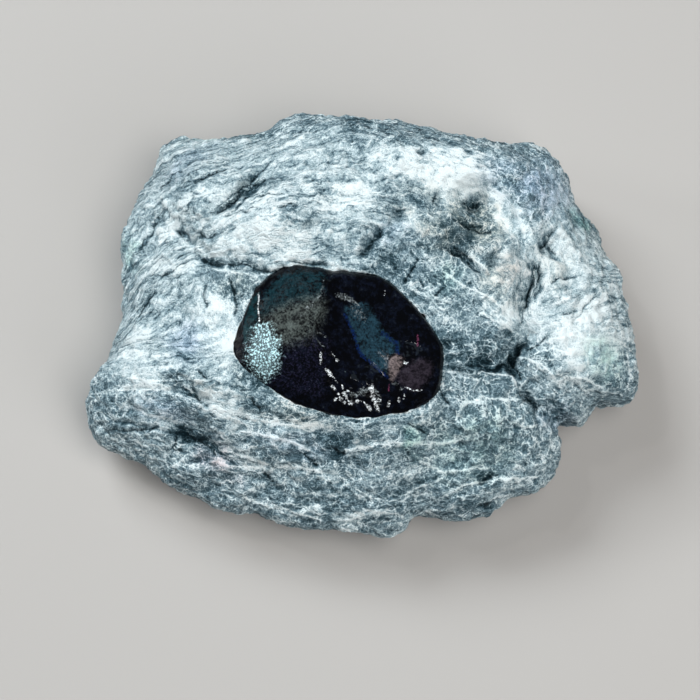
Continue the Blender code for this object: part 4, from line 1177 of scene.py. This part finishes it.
# small marks on the glass: x, y, half length, half width, turn, strength
glassMarks = {
    # painted glints: near-white specks standing in for light caught on the chipped crest and rim
    "paintedGlint": [
        (-5.44, -7.82, 0.66, 0.17, 88, 1.00), (-3.78, -7.27, 0.73, 0.12, -50, 0.60),
        (-3.30, -7.83, 0.21, 0.17, 0, 1.00), (-4.36, -9.62, 0.48, 0.23, -42, 1.00),
        (-3.58, -10.39, 0.60, 0.13, -48, 0.55), (-3.78, -11.41, 0.45, 0.16, -45, 0.75),
        (-2.53, -11.34, 0.32, 0.13, -70, 0.80), (-2.33, -12.14, 0.29, 0.24, -40, 1.00),
        (-2.89, -12.71, 0.24, 0.19, 20, 0.95), (-2.06, -12.60, 0.27, 0.17, -60, 0.95),
        (-2.47, -13.14, 0.29, 0.17, 20, 1.00), (-1.49, -13.28, 0.34, 0.24, 0, 1.00),
        (-0.65, -13.14, 0.21, 0.24, 90, 0.95), (-3.51, -12.79, 0.27, 0.19, 30, 0.95),
        (-3.12, -12.15, 0.21, 0.16, 0, 0.80), (-1.86, -11.82, 0.17, 0.13, 0, 0.70),
        (-0.20, -13.10, 0.29, 0.11, -10, 0.60), (0.38, -13.44, 0.34, 0.13, -55, 0.70),
        (0.89, -13.85, 0.37, 0.20, -55, 1.00), (1.23, -11.61, 0.48, 0.29, -80, 1.00),
        (1.43, -12.56, 0.66, 0.25, -75, 1.00), (1.87, -13.65, 0.73, 0.24, -65, 1.00),
        (2.29, -12.97, 0.29, 0.17, 70, 0.90), (3.51, -13.50, 0.45, 0.15, 60, 0.85),
        (4.84, -12.93, 0.32, 0.11, 80, 0.75), (5.53, -12.62, 0.29, 0.11, 55, 0.75),
        (5.77, -8.22, 0.24, 0.21, 0, 1.00), (5.50, -7.88, 0.21, 0.08, -45, 0.70),
        (2.98, 1.27, 0.34, 0.09, 85, 0.85), (-13.75, 0.52, 0.80, 0.11, 88, 0.85),
        (-13.73, -1.10, 0.80, 0.11, 92, 0.70), (-13.65, -2.46, 0.66, 0.12, 88, 0.85),
        (7.40, -11.76, 0.60, 0.11, 2, 0.60), (6.30, -11.60, 0.58, 0.11, -22, 0.70)],
    # grey patches in the scar, and painted highlights along the crests of the scar
    "greyPatchAndCrestHighlight": [
        (-5.70, -4.47, 0.34, 0.16, 0, 0.60), (-4.97, -4.74, 0.29, 0.21, -30, 0.60),
        (-5.70, -5.78, 0.58, 0.13, -55, 0.70), (-5.19, -6.26, 0.19, 0.13, 0, 0.70),
        (-1.13, -12.29, 0.56, 0.24, -15, 0.90), (0.27, -11.88, 0.86, 0.40, 20, 0.85),
        (2.03, -12.63, 0.99, 0.32, -68, 0.80), (4.34, -10.97, 0.34, 0.21, 10, 0.70),
        (5.15, -11.52, 0.25, 0.23, 0, 0.80), (-2.45, 0.66, 0.93, 0.34, -10, 0.95),
        (-1.26, 0.12, 0.93, 0.21, -25, 0.80), (-0.46, -1.38, 1.46, 0.73, -50, 0.50),
        (-5.24, 1.88, 1.19, 0.12, 75, 0.60), (-6.03, 0.12, 0.93, 0.16, 45, 0.75),
        (-6.96, -0.97, 0.66, 0.27, 30, 0.75), (1.66, -8.49, 0.80, 0.08, -37, 0.60),
        (-8.82, 2.01, 0.66, 0.21, 5, 0.35), (-10.41, 1.74, 0.53, 0.29, 0, 0.30),
        (-8.16, -1.92, 1.19, 0.53, 20, 0.35)],
    "pink": [
        (7.36, -4.83, 0.42, 0.15, 85, 1.00), (7.29, -5.71, 0.27, 0.11, 80, 0.80),
        (3.51, -11.52, 0.45, 0.11, 80, 0.80)],
}
# painted reflection: the coloured blue fringe along the painted reflection band: points, width
glassEdges = [
    ([(-2.2, -1.7), (-1.4, -3.4), (-0.7, -5.3), (-0.5, -6.2), (-0.1, -7.0), (1.0, -7.9), (2.3, -9.1),
      (3.3, -10.1)], 0.26),
    ([(2.6, -4.0), (3.6, -4.7), (4.6, -5.5), (4.6, -6.6)], 0.36)]


def noduleRadius(angle):
    exitShare = (lipHeight(angle) - noduleForm["waist"]) / (noduleForm["crown"] - noduleForm["waist"])
    power = noduleForm["shoulder"]
    return outlineReach(angle) / (1 - exitShare ** power) ** (1 / power)


def glassTop(x, y):
    # height of the nodule's broken top
    angle, distance = noduleAngles(x, y)
    power = noduleForm["shoulder"]
    lift = np.clip(1 - np.clip(distance / noduleRadius(angle), 0, 1) ** power, 0, 1) ** (1 / power)
    heights = [noduleForm["waist"] + lift * (noduleForm["crown"] - noduleForm["waist"])]
    for (px, py, pz), (nx, ny, nz) in glassCut["facets"]:
        heights.append(pz - ((x - px) * nx + (y - py) * ny) / nz)
    bevel = glassCut["bevel"] * (outlineReach(angle) - distance)
    heights.append(lipHeight(angle) + glassCut["bevelLow"] + bevel)
    stack = np.stack(heights)
    low = stack.min(0)
    soften = glassCut["soften"]
    skin = low - soften * np.log(np.exp(-(stack - low) / soften).sum(0))
    deep = insidePlace(x, y, glassCut["bowl"])
    share = np.clip(deep / glassCut["bowlReach"], 0, 1)
    sunk = 1 - (1 - share) ** glassCut["bowlCurve"]
    gap = linePlace(x, y, glassCut["ridge"])[0]
    ridge = np.exp(-(gap / glassCut["ridgeWidth"]) ** 2)
    floor = glassCut["bowlFloor"] + glassCut["ridgeHeight"] * ridge
    top = skin + (np.minimum(floor, skin) - skin) * sunk
    return top, deep


def noduleProfile(count):
    # half outline from the crown to the foot, in shares of the full radius and of the height
    steps = glassCut["profileSteps"]
    level = np.concatenate([np.linspace(1, 0, steps), np.linspace(0, -1, steps)[1:]])
    power = np.where(level > 0, noduleForm["shoulder"], noduleForm["belly"])
    radius = np.clip(1 - np.abs(level) ** power, 0, 1) ** (1 / power)
    waist = noduleForm["waist"]
    height = waist + level * np.where(level > 0, noduleForm["crown"] - waist, waist - noduleForm["foot"])
    strides = np.hypot(np.diff(radius * glassCut["profileRadius"]), np.diff(height))
    weight = np.where(height[1:] > glassCut["closeAbove"], *glassCut["ringWeights"])
    way = np.concatenate([[0.0], np.cumsum(strides * weight)])
    target = np.linspace(0, way[-1], count)
    return np.interp(target, way, radius), np.interp(target, way, height)


def makeNodule():
    bpy.ops.mesh.primitive_uv_sphere_add(segments=glassCut["segments"], ring_count=glassCut["rings"],
                                         radius=1.0, location=(0, 0, 0))
    nodule = bpy.context.object
    nodule.name = "obsidianTear"
    mesh = nodule.data
    unit = readVectors(mesh.vertices, "co")
    ring = np.rint(np.arccos(np.clip(unit[:, 2], -1, 1)) / math.pi * glassCut["rings"]).astype(int)
    angle = np.arctan2(unit[:, 1], unit[:, 0])
    radii, heights = noduleProfile(glassCut["rings"] + 1)
    reach = noduleRadius(angle) + glassCut["seat"]
    x = noduleForm["middle"][0] + reach * radii[ring] * np.cos(angle)
    y = noduleForm["middle"][1] + reach * radii[ring] * np.sin(angle)
    z = heights[ring]
    flat = np.stack([x, y, np.zeros_like(x)], 1)
    height, size = glassCut["sway"]
    sway = height * noiseAt(flat, size)
    top, deep = glassTop(x + sway, y - sway)
    z = np.where(z > noduleForm["waist"], np.minimum(z, top), z)
    shown = eased(z, *glassCut["shown"])
    # chips along the crest, and the fine pitting of the worn facets
    chipping = np.array([chiselled(Vector(point) / glassCut["chipSize"]) for point in flat])
    for chip in glassCut["chips"]:
        along, across = ovalPlace(x, y, chip)
        z = z + chip[5] * (chipping - 0.25) * np.exp(-(along ** 2 + across ** 2)) * shown
    worn = (deep < 0).astype(float)
    everywhere, more = glassCut["pitDepth"]
    z = z + shown * (everywhere + more * worn) * noiseAt(flat, glassCut["pitSize"], 3.0)
    height, size = glassCut["wear"]
    z = z + shown * worn * height * noiseAt(flat, size, 7.0)
    points = np.stack([x, y, z], 1)
    writePoints(mesh, points * mm)
    edges = readEdges(mesh)
    wobble = noiseAt(flat, glassCut["wobbleSize"], 9.0)
    writeMask(mesh, "satin", spread(worn * shown, edges, 2))
    fade = glassCut["zoneFade"]
    # zones, among them a painted reflection band and a painted speckled highlight
    for name, corners in glassZones.items():
        inside = np.clip(insidePlace(x, y, corners) + glassCut["zoneWobble"] * wobble, -fade, fade)
        writeMask(mesh, name, inside * shown - fade * (1 - shown))
    # marks, among them painted glints and painted crest highlights
    shift = glassCut["markWobble"] * wobble
    for name, ovals in glassMarks.items():
        writeMask(mesh, name, ovalMask(x + shift, y - shift, ovals, glassCut["markGrowth"]) * shown)
    # painted reflection: blue fringe along the painted reflection band
    paintedReflectionFringe = np.zeros_like(x)
    shift = glassCut["edgeWobble"] * wobble
    for line, width in glassEdges:
        gap = linePlace(x + shift, y - shift, line)[0]
        paintedReflectionFringe = np.maximum(paintedReflectionFringe, np.exp(-(gap / width) ** 2))
    writeMask(mesh, "paintedReflectionFringe", paintedReflectionFringe * shown)
    makeActive(nodule)
    bpy.ops.object.shade_smooth()
    print("nodule shaped:", len(mesh.polygons), "faces")
    return nodule


glassLook = {
    "black": (0.0016, 0.0018, 0.0026),
    "haze": (0.0034, 0.0050, 0.0110),
    # patch: colour, roughness, softness and raggedness of its edge, how far specks break it, mottling
    "patches": {
        "film": ((0.007, 0.030, 0.040), 0.20, 0.60, 1.1, 0.0, 0.98),
        "soot": ((0.012, 0.012, 0.028), 0.30, 0.80, 0.8, 0.9, 0.8),
        "clay": ((0.078, 0.094, 0.088), 0.40, 1.20, 1.4, 0.3, 1.0),
        "teal": ((0.006, 0.032, 0.040), 0.20, 0.14, 0.3, 0.0, 0.9),
        # painted reflection: blue-grey band in the flake scar
        "paintedReflectionBand": ((0.015, 0.042, 0.062), 0.16, 0.45, 0.5, 0.0, 0.9),
        "buff": ((0.17, 0.135, 0.135), 0.40, 0.35, 0.5, 0.35, 0.8),
        "plum": ((0.026, 0.021, 0.030), 0.20, 0.50, 0.6, 0.0, 0.8),
        # painted highlight: speckled near-white sparkle on the left facet
        "paintedSpeckledHighlight": ((0.62, 0.93, 1.0), 0.30, 0.75, 1.4, 0.85, 0.2),
    },
    # mark: colour, roughness, how far specks break it
    "marks": {
        # painted reflection: blue fringe of the reflection band
        "paintedReflectionFringe": ((0.003, 0.012, 0.060), 0.10, 0.7),
        # grey patches, and painted crest highlights
        "greyPatchAndCrestHighlight": ((0.20, 0.23, 0.24), 0.30, 0.8),
        "pink": ((0.14, 0.035, 0.075), 0.20, 0.6),
        # painted glints: near-white colour standing in for light caught on the chips
        "paintedGlint": ((0.88, 0.94, 0.97), 0.25, 0.7),
    },
    # noises: scale, detail, roughness
    "speck": (3.4, 3.0, 0.7),
    "cloud": (1.0, 5.0, 0.72),
    "sparkle": (4.2, 2.0, 0.6),
    "glintReach": 7.0,          # how far the noise breaks a mark's edge, and where that edge fades
    "glintEdge": (0.36, 0.84),
    "raggedReach": 4.0,
    "mottleEdge": (0.40, 0.61),
    "hazeEdge": (0.44, 0.66),
    "brokenEdge": (0.34, 0.18, 0.10),
    "roughness": 0.05,
    "satinRoughness": 0.07,
    "ior": 1.49,
    "mirror": 0.14,
    "bumpStrength": 0.5,
    "bumpDepth": 0.10,
}


def obsidianMaterial():
    look = glassLook
    material, shader = newMaterial("obsidianGlass")
    tree = material.node_tree
    shader.inputs["IOR"].default_value = look["ior"]
    shader.inputs["Specular IOR Level"].default_value = look["mirror"]
    place = addNode(tree, "ShaderNodeTexCoord").outputs["Object"]
    place = vectorCalc(tree, "SCALE", place, scale=1 / mm)
    speck, cloud, sparkle = (noiseOf(tree, place, *look[name]) for name in ("speck", "cloud", "sparkle"))
    satin = maskOf(tree, "satin")
    mottle = weighted(tree, 0.0, (cloud, 0.55), (speck, 0.45))
    ragged = weighted(tree, -0.5, (cloud, 0.6), (speck, 0.4))
    glint = weighted(tree, -0.5, (sparkle, 0.8), (cloud, 0.2))
    layers = []
    # patches, among them the painted reflection band and the painted speckled highlight
    for name, (tint, roughness, soft, wild, broken, mottled) in look["patches"].items():
        reach = look["raggedReach"] * wild
        mask = rangeOf(tree, weighted(tree, maskOf(tree, name), (ragged, reach)), -soft, soft)
        strength = rangeOf(tree, mottle, *look["mottleEdge"], 1 - mottled, 1.0)
        layers.append((mask, tint, roughness, broken, strength))
    # marks, among them painted glints, painted crest highlights and the painted reflection fringe
    for name, (tint, roughness, broken) in look["marks"].items():
        mask = maskOf(tree, name)
        mask = weighted(tree, mask, (calc(tree, "MULTIPLY", mask, glint), look["glintReach"]))
        layers.append((rangeOf(tree, mask, *look["glintEdge"]), tint, roughness, broken, 1.0))
    colour = blend(tree, look["black"], look["haze"], rangeOf(tree, cloud, *look["hazeEdge"]))
    rough = weighted(tree, look["roughness"], (satin, look["satinRoughness"]))
    start, slope, width = look["brokenEdge"]
    for mask, tint, roughness, broken, strength in layers:
        if broken:
            low = start + slope * broken
            specks = rangeOf(tree, speck, low, low + width, 1 - broken, 1.0)
            mask = calc(tree, "MULTIPLY", mask, specks)
        colour = blend(tree, colour, blend(tree, look["black"], tint, strength), mask)
        kept = calc(tree, "MULTIPLY", rough, calc(tree, "SUBTRACT", 1.0, mask))
        rough = weighted(tree, kept, (mask, roughness))
    tree.links.new(colour, shader.inputs["Base Color"])
    tree.links.new(rough, shader.inputs["Roughness"])
    addBump(tree, shader, calc(tree, "MULTIPLY", satin, speck), look["bumpStrength"], look["bumpDepth"])
    return material


def makeStage():
    bpy.ops.mesh.primitive_plane_add(size=studio["floorSize"], location=(0, 0, studio["floorHeight"]))
    floor = bpy.context.object
    floor.name = "studioFloor"
    material, shader = newMaterial("studioFloor")
    shader.inputs["Base Color"].default_value = (*studio["floorColour"], 1.0)
    shader.inputs["Roughness"].default_value = studio["floorRoughness"]
    floor.data.materials.append(material)
    for name, (place, aim, width, depth, watts, colour, mirrored) in studio["lamps"].items():
        turn = (Vector(aim) - Vector(place)).to_track_quat("-Z", "Y").to_euler()
        bpy.ops.object.light_add(type="AREA", location=place, rotation=turn)
        lamp = bpy.context.object
        lamp.name = name
        lamp.data.shape = "RECTANGLE"
        lamp.data.size = width
        lamp.data.size_y = depth
        lamp.data.energy = watts
        lamp.data.color = colour
        lamp.visible_glossy = mirrored
    world = bpy.data.worlds.new("softRoom")
    world.use_nodes = True
    background = world.node_tree.nodes["Background"]
    background.inputs["Color"].default_value = (*studio["worldColour"], 1.0)
    background.inputs["Strength"].default_value = studio["worldStrength"]
    bpy.context.scene.world = world
    bpy.context.scene.view_settings.view_transform = "Standard"


def makeCamera():
    tilt = math.radians(cameraView["elevation"])
    aim = Vector(cameraView["aim"])
    away = Vector((0, -math.cos(tilt), math.sin(tilt)))
    bpy.ops.object.camera_add(location=aim + away * cameraView["distance"])
    camera = bpy.context.object
    camera.name = "viewCamera"
    camera.rotation_euler = (-away).to_track_quat("-Z", "Y").to_euler()
    camera.data.sensor_width = cameraView["sensor"]
    camera.data.lens = cameraView["sensor"] * cameraView["distance"] / cameraView["frameWidth"]
    camera.data.clip_start = cameraView["clipStart"]
    bpy.context.scene.camera = camera


deselectAll()
makeStage()
makeCamera()
print("stage and camera ready")

rock = makeRock()
carveRock(rock)
rock.data.materials.clear()
rock.data.materials.append(perliteMaterial())
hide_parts("perlite_matrix")
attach(rock, "root")
print("rock finished")

deselectAll()
nodule = makeNodule()
nodule.data.materials.append(obsidianMaterial())
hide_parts("obsidian_nodule")
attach(nodule, "root")
print("nodule finished")
